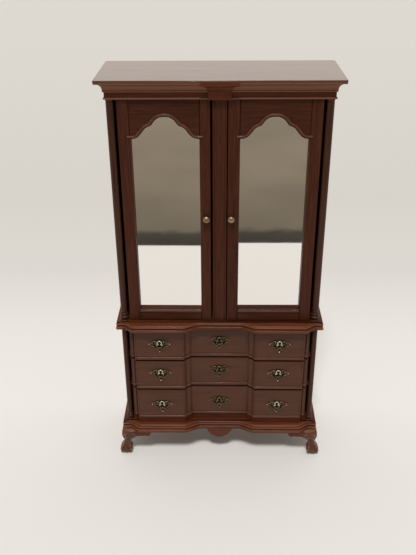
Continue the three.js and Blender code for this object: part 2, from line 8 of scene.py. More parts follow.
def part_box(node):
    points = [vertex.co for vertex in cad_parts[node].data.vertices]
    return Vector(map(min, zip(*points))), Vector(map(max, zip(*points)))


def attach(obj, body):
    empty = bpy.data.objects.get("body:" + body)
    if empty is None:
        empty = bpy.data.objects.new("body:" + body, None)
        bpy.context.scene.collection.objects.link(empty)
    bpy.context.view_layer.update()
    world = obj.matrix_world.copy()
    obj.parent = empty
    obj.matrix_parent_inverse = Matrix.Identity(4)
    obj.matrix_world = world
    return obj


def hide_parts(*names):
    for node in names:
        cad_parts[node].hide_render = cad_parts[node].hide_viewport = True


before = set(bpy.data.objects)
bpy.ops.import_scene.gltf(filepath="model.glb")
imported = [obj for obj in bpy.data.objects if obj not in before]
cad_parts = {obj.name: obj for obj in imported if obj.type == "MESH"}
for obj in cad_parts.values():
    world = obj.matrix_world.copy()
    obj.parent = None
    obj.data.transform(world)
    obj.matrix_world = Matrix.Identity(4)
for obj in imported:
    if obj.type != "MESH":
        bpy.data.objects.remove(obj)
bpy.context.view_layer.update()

# ---- Camera ----
# The armoire is a miniature, so the camera stands only about a foot away, a little above the top
# board, and looks down at it. That close, the case narrows visibly towards the floor.
mm = 0.001

camera_place = Vector((0.29, -302.04, 256.95)) * mm
camera_pitch = math.radians(28.41)
camera_turn = math.radians(1.11)
camera_roll = math.radians(-0.41)

bpy.ops.object.camera_add(location=camera_place)
camera = bpy.context.object
aim = Matrix.Rotation(camera_turn, 3, "Z") @ Matrix.Rotation(math.pi / 2 - camera_pitch, 3, "X")
camera.rotation_euler = (aim @ Matrix.Rotation(camera_roll, 3, "Z")).to_euler()
camera.data.lens = 46.46
camera.data.clip_start = 10 * mm
bpy.context.scene.camera = camera
bpy.context.scene.view_settings.view_transform = "Standard"

# ---- Table, room and light ----
# A pale matt table top under soft light from above and in front. In front of the table lies a taupe
# room, which shows only in the polished surfaces: a band of painted shade for the table's dark front
# edge, then the room beyond it, lighter further off.
table_reach = 4000 * mm
table_front = -251 * mm


def plain_material(name, color, roughness):
    material = bpy.data.materials.new(name)
    material.use_nodes = True
    shader = material.node_tree.nodes["Principled BSDF"]
    shader.inputs["Base Color"].default_value = (*color, 1)
    shader.inputs["Roughness"].default_value = roughness
    return material


def remapped(tree, value, low, high, to_low=0.0, to_high=1.0):
    """The value, with low to high spread over to_low to to_high."""
    node = tree.nodes.new("ShaderNodeMapRange")
    for socket, number in zip(node.inputs[1:5], (low, high, to_low, to_high)):
        socket.default_value = number
    tree.links.new(value, node.inputs["Value"])
    return node.outputs["Result"]


def noise(tree, place, scale, detail=2.0, roughness=0.5, distortion=0.0):
    """Cloudy noise over a place, about 0.5 on average."""
    texture = tree.nodes.new("ShaderNodeTexNoise")
    for socket, number in (("Scale", scale), ("Detail", detail), ("Roughness", roughness),
                           ("Distortion", distortion)):
        texture.inputs[socket].default_value = number
    tree.links.new(place, texture.inputs["Vector"])
    return texture.outputs["Fac"]


def toned_along_y(material, start, stop, tones, waviness=0.0, mottle=0.0):
    """Colours a flat surface by how far back it lies. tones are [share of the way, colour]."""
    tree = material.node_tree
    nodes, links = tree.nodes, tree.links
    wave_scale, mottle_scale = 60, 9
    place = nodes.new("ShaderNodeTexCoord").outputs["Object"]
    split = nodes.new("ShaderNodeSeparateXYZ")
    shift = nodes.new("ShaderNodeMath")
    shift.operation = "MULTIPLY_ADD"
    shift.inputs[1].default_value = waviness
    ramp = nodes.new("ShaderNodeValToRGB")
    stops = ramp.color_ramp.elements
    stops[0].color = (*tones[0][1], 1)
    stops[1].color = (*tones[-1][1], 1)
    for share, shade in tones[1:-1]:
        stops.new(share).color = (*shade, 1)
    patched = nodes.new("ShaderNodeVectorMath")
    patched.operation = "SCALE"
    links.new(place, split.inputs[0])
    links.new(noise(tree, place, wave_scale), shift.inputs[0])
    links.new(split.outputs["Y"], shift.inputs[2])
    links.new(remapped(tree, shift.outputs[0], start, stop), ramp.inputs["Fac"])
    links.new(ramp.outputs["Color"], patched.inputs[0])
    links.new(remapped(tree, noise(tree, place, mottle_scale), 0.35, 0.65, 1 - mottle, 1),
              patched.inputs["Scale"])
    links.new(patched.outputs["Vector"], nodes["Principled BSDF"].inputs["Base Color"])


bpy.ops.mesh.primitive_plane_add(size=2 * table_reach)
table = bpy.context.object
table.name = "table_top"
paper = plain_material("pale_paper", (0.79, 0.765, 0.73), 0.9)
# the table is painted a little lighter just in front of the armoire and darker further back: painted
# falloff of the light
toned_along_y(paper, -31 * mm, 1150 * mm, [
    (0, (0.792, 0.78, 0.77)), (0.047, (0.82, 0.807, 0.797)), (0.1, (0.79, 0.778, 0.765)),
    (0.183, (0.67, 0.66, 0.641)), (0.303, (0.63, 0.622, 0.596)), (1, (0.672, 0.663, 0.633))])
table.data.materials.append(paper)

bpy.ops.mesh.primitive_plane_add(size=2 * table_reach, location=(0, table_front - table_reach, 0.5 * mm))
room = bpy.context.object
room.name = "room_seen_in_mirrors"
for seen_by in ("visible_camera", "visible_diffuse", "visible_shadow"):
    setattr(room, seen_by, False)
bpy.ops.object.transform_apply(location=True)
room_material = plain_material("taupe_room", (0.3, 0.26, 0.19), 1)
# a dark band at the near edge is painted shade of the table's front edge; past it the room is lighter
# further off
toned_along_y(room_material, table_front, table_front - 500 * mm, [
    (0, (0.035, 0.03, 0.022)), (0.022, (0.05, 0.043, 0.03)), (0.045, (0.17, 0.143, 0.105)),
    (0.3, (0.225, 0.186, 0.138)), (1, (0.265, 0.222, 0.162))], 18 * mm, 0.16)
room.data.materials.append(room_material)

bpy.ops.object.light_add(type="SUN", rotation=(math.radians(27), math.radians(-2), 0))
lamp = bpy.context.object
lamp.data.energy = 2.15
lamp.data.angle = math.radians(11)
lamp.data.color = (1.0, 0.975, 0.94)

world = bpy.data.worlds.new("soft_room")
bpy.context.scene.world = world
world.use_nodes = True
sky = world.node_tree
sky_coords = sky.nodes.new("ShaderNodeTexCoord")
sky_split = sky.nodes.new("ShaderNodeSeparateXYZ")
sky_ramp = sky.nodes.new("ShaderNodeValToRGB")
sky_ramp.color_ramp.elements[0].color = (0.8, 0.74, 0.66, 1)
sky_ramp.color_ramp.elements[1].color = (0.5, 0.49, 0.475, 1)
sky_ramp.color_ramp.elements.new(0.3).color = (0.76, 0.71, 0.65, 1)
sky.links.new(sky_coords.outputs["Generated"], sky_split.inputs[0])
sky.links.new(sky_split.outputs["Z"], sky_ramp.inputs["Fac"])
# the room is dimmer in front of the armoire than behind it
sky_front, sky_rear = 0.2, 1.3
sky.links.new(remapped(sky, sky_split.outputs["Y"], -1, 1, sky_front, sky_rear),
              sky.nodes["Background"].inputs["Strength"])
sky.links.new(sky_ramp.outputs["Color"], sky.nodes["Background"].inputs["Color"])

# ---- Case panels ----
# Two sides and a back of thin mahogany board, full height, polished dark. The grain runs upwards,
# as straight fine streaks with short open pores. The boards stay as they are cut.


def mixed(tree, amount, first, second, way="MIX"):
    """Two colours mixed by an amount. Each is a socket or a fixed colour."""
    node = tree.nodes.new("ShaderNodeMix")
    node.data_type, node.blend_type = "RGBA", way
    tree.links.new(amount, node.inputs["Factor"])
    for name, colour in (("A", first), ("B", second)):
        if isinstance(colour, tuple):
            node.inputs[name].default_value = (*colour, 1)
        else:
            tree.links.new(colour, node.inputs[name])
    return node.outputs["Result"]


def grain_group():
    """Mahogany figure: the grain runs along X, and one unit across it is a millimetre."""
    group = bpy.data.node_groups.new("mahogany_grain", "ShaderNodeTree")
    for name, kind in (("Vector", "NodeSocketVector"), ("Dark", "NodeSocketColor"),
                       ("Light", "NodeSocketColor")):
        group.interface.new_socket(name, in_out="INPUT", socket_type=kind)
    for name, kind in (("Color", "NodeSocketColor"), ("Roughness", "NodeSocketFloat"),
                       ("Height", "NodeSocketFloat")):
        group.interface.new_socket(name, in_out="OUTPUT", socket_type=kind)
    nodes, links = group.nodes, group.links
    source, result = nodes.new("NodeGroupInput"), nodes.new("NodeGroupOutput")

    stretch = nodes.new("ShaderNodeMapping")
    stretch.inputs["Scale"].default_value = (45, 1000, 1000)
    links.new(source.outputs["Vector"], stretch.inputs["Vector"])

    along = stretch.outputs["Vector"]
    broad = noise(group, along, 0.16, 2, 0.6, 0.4)
    streaks = noise(group, along, 1.4, 4, 0.6, 0.2)
    pores = noise(group, along, 4.5, 2, 0.6)
    blend = nodes.new("ShaderNodeMath")
    blend.operation = "MULTIPLY_ADD"
    blend.inputs[1].default_value = 0.55
    links.new(broad, blend.inputs[0])
    links.new(remapped(group, streaks, 0.3, 0.7, 0, 0.45), blend.inputs[2])
    tone = mixed(group, remapped(group, blend.outputs[0], 0.25, 0.75),
                 source.outputs["Dark"], source.outputs["Light"])
    pored = mixed(group, remapped(group, pores, 0.58, 0.7, 0, 0.55), tone, (0.35, 0.3, 0.28), "MULTIPLY")
    links.new(pored, result.inputs["Color"])
    links.new(remapped(group, streaks, 0.3, 0.7, 0.3, 0.42), result.inputs["Roughness"])
    links.new(remapped(group, pores, 0.55, 0.72, 1, 0), result.inputs["Height"])
    return group


def wear_and_light_group():
    """Edges turned a lighter, redder tone, as painted highlight and rubbed wear, and the hollows
    darkened, as painted shade on wood and patina on brass.
    """
    group = bpy.data.node_groups.new("rubbed_and_highlit_edges", "ShaderNodeTree")
    for name in ("Color", "Rubbed_and_highlit", "Hollow"):
        group.interface.new_socket(name, in_out="INPUT", socket_type="NodeSocketColor")
    group.interface.new_socket("Color", in_out="OUTPUT", socket_type="NodeSocketColor")
    source, result = group.nodes.new("NodeGroupInput"), group.nodes.new("NodeGroupOutput")
    shape = group.nodes.new("ShaderNodeNewGeometry")
    strongest_wear_and_light = 0.85
    previous = source.outputs["Color"]
    # the pale tone on sharp edges is painted highlight as well as wear; the dark tone in hollows is
    # painted shade on wood, patina on brass
    for colour, low, high in (("Rubbed_and_highlit", 0.51, 0.58), ("Hollow", 0.49, 0.42)):
        amount = remapped(group, shape.outputs["Pointiness"], low, high, 0, strongest_wear_and_light)
        previous = mixed(group, amount, previous, source.outputs[colour])
    group.links.new(previous, result.inputs["Color"])
    return group


mahogany_grain = grain_group()
rubbed_and_highlit_edges = wear_and_light_group()
grain_turns = {"x": (0, 0, 0), "y": (0, 0, -math.pi / 2), "z": (0, math.pi / 2, 0)}


def worn_lit_and_shaded(tree, colour, rubbed_and_highlit, dark):
    """The colour with its edges turned to another tone, painted highlight as well as wear, and its dark
    tone deepened in the hollows, painted shade on wood and patina on brass.
    """
    hollow_shade_and_patina_share = 0.4
    edge_and_hollow_tone = tree.nodes.new("ShaderNodeGroup")
    edge_and_hollow_tone.node_tree = rubbed_and_highlit_edges
    edge_and_hollow_tone.inputs["Rubbed_and_highlit"].default_value = (*rubbed_and_highlit, 1)
    edge_and_hollow_tone.inputs["Hollow"].default_value = (*[c * hollow_shade_and_patina_share for c in dark], 1)
    tree.links.new(colour, edge_and_hollow_tone.inputs["Color"])
    return edge_and_hollow_tone.outputs["Color"]


def wood(name, along, dark, light, coat=0.0, gloss=0.12, rubbed_and_highlit=None, shift=(0, 0, 0)):
    """A polished wood with its grain along x, y or z. The edge tone, if given, is painted highlight on
    its edges as well as rubbed wear, and its hollows get painted shade.
    """
    material = plain_material(name, light, 0.35)
    nodes, links = material.node_tree.nodes, material.node_tree.links
    shader = nodes["Principled BSDF"]
    shader.inputs["Specular IOR Level"].default_value = gloss
    shader.inputs["Coat Weight"].default_value = coat
    shader.inputs["Coat Roughness"].default_value = 0.12
    coords = nodes.new("ShaderNodeTexCoord")
    turn = nodes.new("ShaderNodeMapping")
    turn.inputs["Location"].default_value = shift
    turn.inputs["Rotation"].default_value = grain_turns[along]
    grain = nodes.new("ShaderNodeGroup")
    grain.node_tree = mahogany_grain
    grain.inputs["Dark"].default_value = (*dark, 1)
    grain.inputs["Light"].default_value = (*light, 1)
    bump = nodes.new("ShaderNodeBump")
    bump.inputs["Strength"].default_value = 0.25
    bump.inputs["Distance"].default_value = 0.05 * mm
    links.new(coords.outputs["Object"], turn.inputs["Vector"])
    links.new(turn.outputs["Vector"], grain.inputs["Vector"])
    links.new(grain.outputs["Roughness"], shader.inputs["Roughness"])
    links.new(grain.outputs["Height"], bump.inputs["Height"])
    links.new(bump.outputs["Normal"], shader.inputs["Normal"])
    color = grain.outputs["Color"]
    if rubbed_and_highlit:
        color = worn_lit_and_shaded(material.node_tree, color, rubbed_and_highlit, dark)
    links.new(color, shader.inputs["Base Color"])
    return material


def give(node, material):
    """A carried-over board gets its finish."""
    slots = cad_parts[node].data.materials
    slots.clear()
    slots.append(material)


panel_wood = wood("panel_mahogany", "z", (0.032, 0.0095, 0.0045), (0.078, 0.023, 0.011), 0.05, 0.2)
for node in ("side_left", "side_right", "back_panel"):
    give(node, panel_wood)

# ---- Boards inside ----
# Drawer walls, drawer floors and the thin dividers the drawers run on are plain wood, stained brown
# and left unpolished. They show when a drawer is pulled out.
inside_dark, inside_light = (0.045, 0.02, 0.01), (0.1, 0.05, 0.027)
bare_wood_along_y = wood("bare_wood_lengthways", "y", inside_dark, inside_light, 0, 0.2)
bare_wood_along_x = wood("bare_wood_across", "x", inside_dark, inside_light, 0, 0.2)
drawer_names = ("bottom", "middle", "top")
for name in drawer_names:
    give(f"drawer_{name}_side_left", bare_wood_along_y)
    give(f"drawer_{name}_side_right", bare_wood_along_y)
    give(f"drawer_{name}_back", bare_wood_along_x)
    give(f"drawer_{name}_bottom", bare_wood_along_x)
for node in ("divider_lower", "divider_upper"):
    give(node, bare_wood_along_x)

# ---- Top board ----
# One thin polished board with softened edges and its two rear corners rounded. Its polish is the
# brightest on the piece.


def start_fresh():
    """Leaves object mode with nothing selected."""
    if bpy.context.object and bpy.context.object.mode != "OBJECT":
        bpy.ops.object.mode_set(mode="OBJECT")
    bpy.ops.object.select_all(action="DESELECT")


def pick(piece):
    """Selects this piece alone and makes it the active one."""
    start_fresh()
    piece.select_set(True)
    bpy.context.view_layer.objects.active = piece


def box_piece(low, high):
    """A cube primitive stretched between two corners, with its place in its mesh."""
    start_fresh()
    low, high = Vector(low), Vector(high)
    bpy.ops.mesh.primitive_cube_add(size=1, location=(low + high) / 2)
    piece = bpy.context.object
    piece.scale = high - low
    bpy.ops.object.transform_apply(location=True, rotation=True, scale=True)
    return piece


def apply_modifier(piece, kind, **settings):
    bpy.context.view_layer.objects.active = piece
    modifier = piece.modifiers.new(kind.lower(), kind)
    for key, value in settings.items():
        setattr(modifier, key, value)
    bpy.ops.object.modifier_apply(modifier=modifier.name)


def soften(piece, width, segments=3, angle=math.radians(40)):
    """Rounds the sharp edges and shades the piece smooth up to them."""
    apply_modifier(piece, "BEVEL", width=width, segments=segments, limit_method="ANGLE",
                   angle_limit=angle, harden_normals=False)
    smooth(piece)


def smooth(piece, angle=math.radians(35)):
    """Shades the curves smooth and keeps the flats flat, by two hair lines drawn inside each flat."""
    squarest, narrowest, hair_line = 0.99995, 0.7 * mm, 0.1 * mm
    board_area, board_sides = 1000 * mm * mm, 30
    pick(piece)
    bpy.ops.object.mode_set(mode="EDIT")
    bpy.ops.mesh.select_mode(type="FACE")
    mesh = bmesh.from_edit_mesh(piece.data)
    for face in mesh.faces:
        square_on = max(abs(c) for c in face.normal) > squarest
        broad = len(face.verts) == 4 and min(edge.calc_length() for edge in face.edges) > narrowest
        whole_board = len(face.verts) < board_sides and face.calc_area() > board_area
        face.select_set(square_on and (broad or whole_board))
    bmesh.update_edit_mesh(piece.data)
    for _ in range(2):
        bpy.ops.mesh.inset(thickness=hair_line, use_individual=True)
    pick(piece)
    bpy.ops.object.shade_smooth_by_angle(angle=angle)


def fit(piece, name, body, nodes, slot, *materials):
    """Names a finished piece, gives it its finish and fastens it to its body."""
    piece.name = name
    piece.data.name = name
    for material in materials:
        piece.data.materials.append(material)
    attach(piece, body)
    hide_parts(*nodes)


rear_corner_radius, top_edge_radius = 1.6 * mm, 0.22 * mm
top_board = box_piece(*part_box("top_board"))
bpy.ops.object.mode_set(mode="EDIT")
mesh = bmesh.from_edit_mesh(top_board.data)
bpy.ops.mesh.select_all(action="DESELECT")
bpy.ops.mesh.select_mode(type="EDGE")
for edge in mesh.edges:
    a, b = edge.verts
    edge.select_set(abs(a.co.z - b.co.z) > 0.5 * mm and min(a.co.y, b.co.y) > 0)
bmesh.update_edit_mesh(top_board.data)
bpy.ops.mesh.bevel(offset=rear_corner_radius, segments=6)
start_fresh()
soften(top_board, top_edge_radius)
top_wood = wood("top_mahogany", "x", (0.075, 0.021, 0.0085), (0.115, 0.036, 0.016), 0.92, 0.45)
top_wood.node_tree.nodes["Principled BSDF"].inputs["Coat Roughness"].default_value = 0.2
fit(top_board, "top_board", "case", ["top_board"], "moulding", top_wood)

# ---- Cornice ----
# A moulded strip round the front and the sides: a lip over the doors, a plain frieze, a bead, and a
# cove that spreads to the top board. A flat rail behind its front holds the door pivots.


def built_up(rings):
    """Closed rings of points, each extruded to the next, and capped at both ends."""
    start_fresh()
    bpy.ops.mesh.primitive_circle_add(vertices=len(rings[0]), fill_type="NGON")
    piece = bpy.context.object
    bpy.ops.object.mode_set(mode="EDIT")
    mesh = bmesh.from_edit_mesh(piece.data)
    for vert, point in zip(mesh.verts, rings[0]):
        vert.co = point
    for previous, points in zip(rings, rings[1:]):
        bpy.ops.mesh.extrude_region_move()
        mesh = bmesh.from_edit_mesh(piece.data)
        for vert in [v for v in mesh.verts if v.select]:
            nearest = min(range(len(previous)), key=lambda i: (previous[i] - vert.co).length_squared)
            vert.co = points[nearest]
    bpy.ops.mesh.select_all(action="SELECT")
    bpy.ops.mesh.normals_make_consistent(inside=False)
    start_fresh()
    return piece


def join(pieces):
    start_fresh()
    for piece in pieces:
        piece.select_set(True)
    bpy.context.view_layer.objects.active = pieces[0]
    bpy.ops.object.join()
    return pieces[0]


def arc(centre, radius, start, stop, steps):
    """Points of [projection, height] round an arc, in degrees."""
    angles = [math.radians(start + (stop - start) * i / steps) for i in range(steps + 1)]
    return [(centre[0] + radius * math.cos(a), centre[1] + radius * math.sin(a)) for a in angles]


case_low, case_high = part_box("side_left")[0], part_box("side_right")[1]
side_setback = 1.5 * mm
half_case = case_high[0]
back = case_high[1]
front = case_low[1] - side_setback
cornice_low, cornice_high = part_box("cornice")
cornice_top = cornice_high[2]
cornice_tall = cornice_high[2] - cornice_low[2]
lip_down, bead_down = cornice_tall / mm, 4.3
cove_foot, cove_reach, cove_down = 0.85, 3.6, 3.55
cornice_profile = [
    (0.0, lip_down), *arc((0.4, lip_down - 0.38), 0.38, 90, -90, 8), (0.3, lip_down - 0.8),
    (0.3, bead_down + 0.25), (0.34, bead_down + 0.1), *arc((0.5, bead_down - 0.36), 0.38, 90, -60, 8),
    (0.72, cove_down + 0.05),
    *[(cove_foot + (cove_reach - cove_foot) * (1 - math.cos(t)),
       cove_down - (cove_down - 0.6) * math.sin(t))
      for t in [math.pi / 2 * i / 12 for i in range(13)]],
    (3.74, 0.58), (3.8, 0.5), (3.8, 0.05), (3.7, 0.0), (0.0, 0.0),
]


def cornice_ring(x, y, out_x, out_y):
    """The cornice's section where its path passes (x, y), with its outward direction."""
    return [Vector((x + out_x * p * mm, y + out_y * p * mm, cornice_top - down * mm))
            for p, down in cornice_profile]


cornice_strip = built_up([
    cornice_ring(-half_case, back, -1, 0), cornice_ring(-half_case, front, -1, -1),
    cornice_ring(half_case, front, 1, -1), cornice_ring(half_case, back, 1, 0),
])
rail_inset, rail_lap, rail_deep = 2 * mm, 0.05 * mm, 4.4 * mm
cornice_rail = box_piece((-half_case + rail_inset, front - rail_lap, cornice_low[2]),
                         (half_case - rail_inset, front + rail_deep, cornice_top))
cornice = join([cornice_strip, cornice_rail])
smooth(cornice)
frieze_wood = wood("frieze_mahogany", "x", (0.0625, 0.01437, 0.0063), (0.125, 0.03047, 0.0126),
                   0.0, 0.12, None, (0.6, 0.2, 0.1))
# its edge tone is painted highlight on the cornice's edges as well as wear, and its hollows get painted
# shade
cornice_wood = wood("cornice_mahogany", "x", (0.038, 0.0115, 0.005), (0.078, 0.026, 0.012), 0.05, 0.15,
                    (0.22, 0.09, 0.05))
fit(cornice, "cornice", "case", ["cornice"], "moulding", cornice_wood, frieze_wood)
frieze_low = cornice_top - (lip_down - 0.8) * mm
frieze_high = cornice_top - (bead_down + 0.05) * mm
for face in cornice.data.polygons:
    face.material_index = 1 if frieze_low < face.center.z < frieze_high else 0

# ---- Keystone ----
# The block in the middle of the cornice: a plain face over the doors, coves that spread from it on
# three sides, and a flat reddish fascia under the top board.
stone_low, stone_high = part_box("keystone")
stone_back = stone_high[1]
stone_tall = stone_high[2] - stone_low[2]
fascia_half, fascia_proud, fascia_share = stone_high[0], 0.25 * mm, 0.81
fascia_front = stone_low[1] - fascia_proud
block_half, block_proud = 4.75 * mm, 1.45 * mm
block_front = front - block_proud
stone_levels = [(0.0, 0.0), (0.02, 0.0), (0.44, 0.0), (0.46, 0.04)]
stone_levels += [(0.46 + 0.34 * math.sin(t), 0.04 + 0.86 * (1 - math.cos(t)))
                 for t in [math.pi / 2 * i / 8 for i in range(1, 9)]]
stone_levels += [(fascia_share, 0.95), (0.825, 1.0), (0.985, 1.0), (1.0, 0.98)]
stone_rings = []
for share, flare in stone_levels:
    half = block_half + (fascia_half - block_half) * flare
    face = block_front + (fascia_front - block_front) * flare
    z = stone_low[2] + stone_tall * share
    stone_rings.append([Vector((-half, face, z)), Vector((half, face, z)),
                        Vector((half, stone_back, z)), Vector((-half, stone_back, z))])
keystone = built_up(stone_rings)
smooth(keystone, math.radians(30))
keystone_wood = wood("keystone_mahogany", "x", (0.08, 0.02, 0.0085), (0.135, 0.037, 0.016), 0.0, 0.12,
                     None, (0.31, 0.2, 0.1))
fit(keystone, "keystone", "case", ["keystone"], "moulding", keystone_wood, frieze_wood)
for face in keystone.data.polygons:
    face.material_index = 1 if face.center.z < stone_low[2] + fascia_share * stone_tall else 0

# ---- Waist and base boards ----
# Two moulded boards that follow the block front: straight corners, S-curves out to the two blocks
# and back to the middle. Their edges carry a nosing bead, a quirk and a torus, cut in the solid.


corner_inset, block_inset, block_inner = 0.7 * mm, 7 * mm, 18.2 * mm
centre_half, block_out, curve_steps = 9.2 * mm, 3.3 * mm, 16


def block_outline(node, rear_notch=0):
    """The board's plan, anticlockwise from its rear left corner, with points along its S-curves.
    A rear notch lets the back panel and the side panels run past the board's back edge."""
    low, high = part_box(node)
    face = low[1] + block_out
    right = []

    def s_curve(x0, x1, y0, y1):
        for step in range(curve_steps + 1):
            t = step / curve_steps
            right.append((x0 + (x1 - x0) * t, y0 + (y1 - y0) * (1 - math.cos(math.pi * t)) / 2))

    s_curve(centre_half, block_inner, face, low[1])
    s_curve(half_case - block_inset, half_case - corner_inset, low[1], face)
    right += [(high[0] - 0.5 * mm, face), (high[0], face + 0.3 * mm), (high[0], back)]
    if rear_notch:
        right += [(half_case, back), (half_case, back - rear_notch)]
    return [(-x, y) for x, y in reversed(right)] + right


def stepped_in(outline, inset):
    """The outline moved inwards, square to its edges. Its back edge stays where it is."""
    rear_band = 1.2 * mm
    moved = []
    for i, (x, y) in enumerate(outline):
        if y > back - rear_band:
            moved.append((x - math.copysign(inset, x), y))
            continue
        before, after = Vector(outline[i - 1]), Vector(outline[(i + 1) % len(outline)])
        here = Vector((x, y))
        first = Vector((before.y - here.y, here.x - before.x)).normalized()
        second = Vector((here.y - after.y, after.x - here.x)).normalized()
        mitre = (first + second).normalized()
        moved.append(tuple(here + mitre * inset / mitre.dot(first)))
    return moved


def edge_moulded(outline, profile):
    """A board whose edge carries a profile of [inset, height]."""
    return built_up([[Vector((x, y, z)) for x, y in stepped_in(outline, inset)]
                     for inset, z in profile])


def millimetre_profile(bottom, points):
    return [(inset * mm, bottom + height * mm) for inset, height in points]


waist_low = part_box("waist_board")[0]
back_panel_notch = 0.6 * mm
waist_profile = millimetre_profile(waist_low[2], [
    (0.9, 0.0), (0.5, 0.0), (0.34, 0.08),
    *[(0.95 - x, z) for x, z in arc((0.0, 0.8), 0.9, -40, 60, 10)],
    (0.58, 1.68), (0.62, 1.8), (0.86, 1.9), (0.98, 2.1), (0.98, 2.3), (0.86, 2.42), (0.6, 2.5),
    *[(0.55 - x, z) for x, z in arc((0.0, 2.87), 0.36, -80, 90, 8)],
    (0.6, 3.2), (0.74, 3.14), (0.84, 3.14), (0.95, 3.3), (1.15, 3.44), (1.4, 3.5), (1.9, 3.5),
])
waist_board = edge_moulded(block_outline("waist_board", back_panel_notch), waist_profile)
smooth(waist_board)
moulding_dark, moulding_light = (0.07, 0.0195, 0.0085), (0.145, 0.043, 0.0185)
# painted highlight for the bright lines along the moulding edges, partly wear; the hollows of the
# mouldings get painted shade
moulding_edge_highlight_and_wear = (0.32, 0.12, 0.06)
board_wood = wood("board_mahogany", "x", moulding_dark, moulding_light, 0.0, 0.1, moulding_edge_highlight_and_wear,
                  (0.2, 0.1, 0.3))
fit(waist_board, "waist_board", "case", ["waist_board"], "moulding", board_wood)

base_low, base_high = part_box("base_board")
base_profile = millimetre_profile(base_low[2], [
    (0.9, 0.0), (0.4, 0.0), (0.25, 0.08),
    *[(0.8 - x, z) for x, z in arc((0.0, 0.85), 0.8, -45, 62, 9)],
    (0.5, 1.6), (0.55, 1.72), (0.75, 1.82), (0.9, 2.05), (0.95, 2.35), (0.85, 2.6), (0.6, 2.72),
    *[(0.55 - x, z) for x, z in arc((0.0, 3.12), 0.38, -80, 85, 8)],
    (0.62, 3.48), (0.75, 3.42), (0.85, 3.45), (1.05, 3.75), (1.4, 4.05), (1.75, 4.22), (2.0, 4.3),
    (2.15, 4.3),
])
base_board = edge_moulded(block_outline("base_board"), base_profile)
smooth(base_board)
fit(base_board, "base_board", "case", ["base_board"], "moulding", board_wood)

# ---- Columns ----
# Slender turned columns in the front corners, two to each storey: a ringed foot with a ball, a long
# plain shaft and a small collar. Their backs are planed flat against the side panels.
# its edge tone is painted highlight on the turnings as well as wear, and its hollows get painted shade
column_wood = wood("column_mahogany", "z", (0.028, 0.009, 0.0045), (0.062, 0.02, 0.0095), 0.05, 0.15,
                   (0.085, 0.032, 0.017), (0.1, 0.3, 0.2))
column_sides = 24
# the ball of the foot is the widest turning, in shaft radii, and it fixes the axis
ball_swell = 1.28


def column(node, foot_scale):
    low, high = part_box(node)
    flat = high[1]
    reach = (high[0] - low[0]) / 2
    radius = reach / ball_swell
    middle = Vector(((low[0] + high[0]) / 2, low[1] + reach))
    tall = high[2] - low[2]
    foot = [(1.22, 0.0), (1.24, 0.15), (1.24, 0.6), (1.18, 0.72), (0.86, 0.8), (0.84, 1.0), (0.9, 1.1)]
    foot += [(ball_swell * math.cos(a), 2.2 + 1.15 * math.sin(a))
             for a in [math.radians(d) for d in (-62, -45, -30, -15, 0, 15, 30, 45, 60)]]
    foot += [(0.72, 3.35), (0.74, 3.5), (1.0, 3.6), (1.14, 3.75), (1.18, 3.95), (1.14, 4.15),
             (1.0, 4.28), (0.88, 4.4), (0.88, 4.7), (0.96, 5.0), (1.0, 5.3)]
    foot = [(share, height * foot_scale) for share, height in foot]
    head = [(1.0, 1.6), (1.0, 1.5), (0.98, 1.2), (0.84, 1.1), (0.84, 0.95), (1.02, 0.85), (1.06, 0.6),
            (1.05, 0.1), (1.03, 0.0)]
    levels = foot + [(share, tall / mm - down) for share, down in head]
    rings = []
    for share, height in levels:
        ring = []
        for i in range(column_sides):
            angle = 2 * math.pi * i / column_sides
            x = middle.x + radius * share * math.cos(angle)
            y = min(middle.y + radius * share * math.sin(angle), flat)
            ring.append(Vector((x, y, low[2] + height * mm)))
        rings.append(ring)
    piece = built_up(rings)
    smooth(piece, math.radians(50))
    return piece


for storey, foot_scale in (("upper", 1.0), ("lower", 0.95)):
    for side_name in ("left", "right"):
        node = f"{storey}_column_{side_name}"
        fit(column(node, foot_scale), node, "case", [node], "mahogany", column_wood)

# ---- Centre stile ----
# The fixed upright between the doors, one mahogany strip from the waist board to the cornice, with a
# shallow bead planed down each edge. The doors close beside it.


def stood_up(section, bottom, top):
    """A board with one section in plan all the way up."""
    return built_up([[Vector((x, y, z)) for x, y in section] for z in (bottom, top)])


stile_low, stile_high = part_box("centre_stile")
stile_face = stile_low[1]
stile_section = []
for side in (-1, 1):
    edge_points = [(3.05, 3.3), (3.05, 0.4), (3.0, 0.2), (2.85, 0.06), (2.65, 0.0), (2.45, 0.06),
                   (2.3, 0.2), (2.2, 0.3), (2.05, 0.22), (1.95, 0.1), (1.8, 0.05)]
    points = [(side * x * mm, stile_face + y * mm) for x, y in edge_points]
    stile_section += points if side < 0 else list(reversed(points))
centre_stile = stood_up(stile_section, stile_low[2], stile_high[2])
smooth(centre_stile)
frame_wood = wood("frame_mahogany", "z", (0.042, 0.0115, 0.0055), (0.085, 0.025, 0.012), 0.0, 0.12,
                  None, (0.4, 0.2, 0.1))
fit(centre_stile, "centre_stile", "case", ["centre_stile"], "mahogany", frame_wood)

# ---- Feet ----
# Carved cabriole feet: a broad acanthus knee under each corner of the base, a slim ankle, and a ball
# gripped by claws. Scrolled brackets are glued on beside the knees.
# the foot's edge tone is painted highlight on the carving's high points as well as wear, and its hollows
# get painted shade
foot_wood = wood("foot_mahogany", "z", (0.05175, 0.01728, 0.008), (0.1265, 0.04752, 0.024),
                 0.1, 0.25, (0.3, 0.15, 0.09), (0.3, 0.1, 0.2))
bracket_wood = wood("bracket_mahogany", "x", (0.065, 0.019, 0.009), (0.13, 0.04, 0.019), 0.0, 0.15,
                    None, (0.2, 0.6, 0.2))
foot_sides = 80
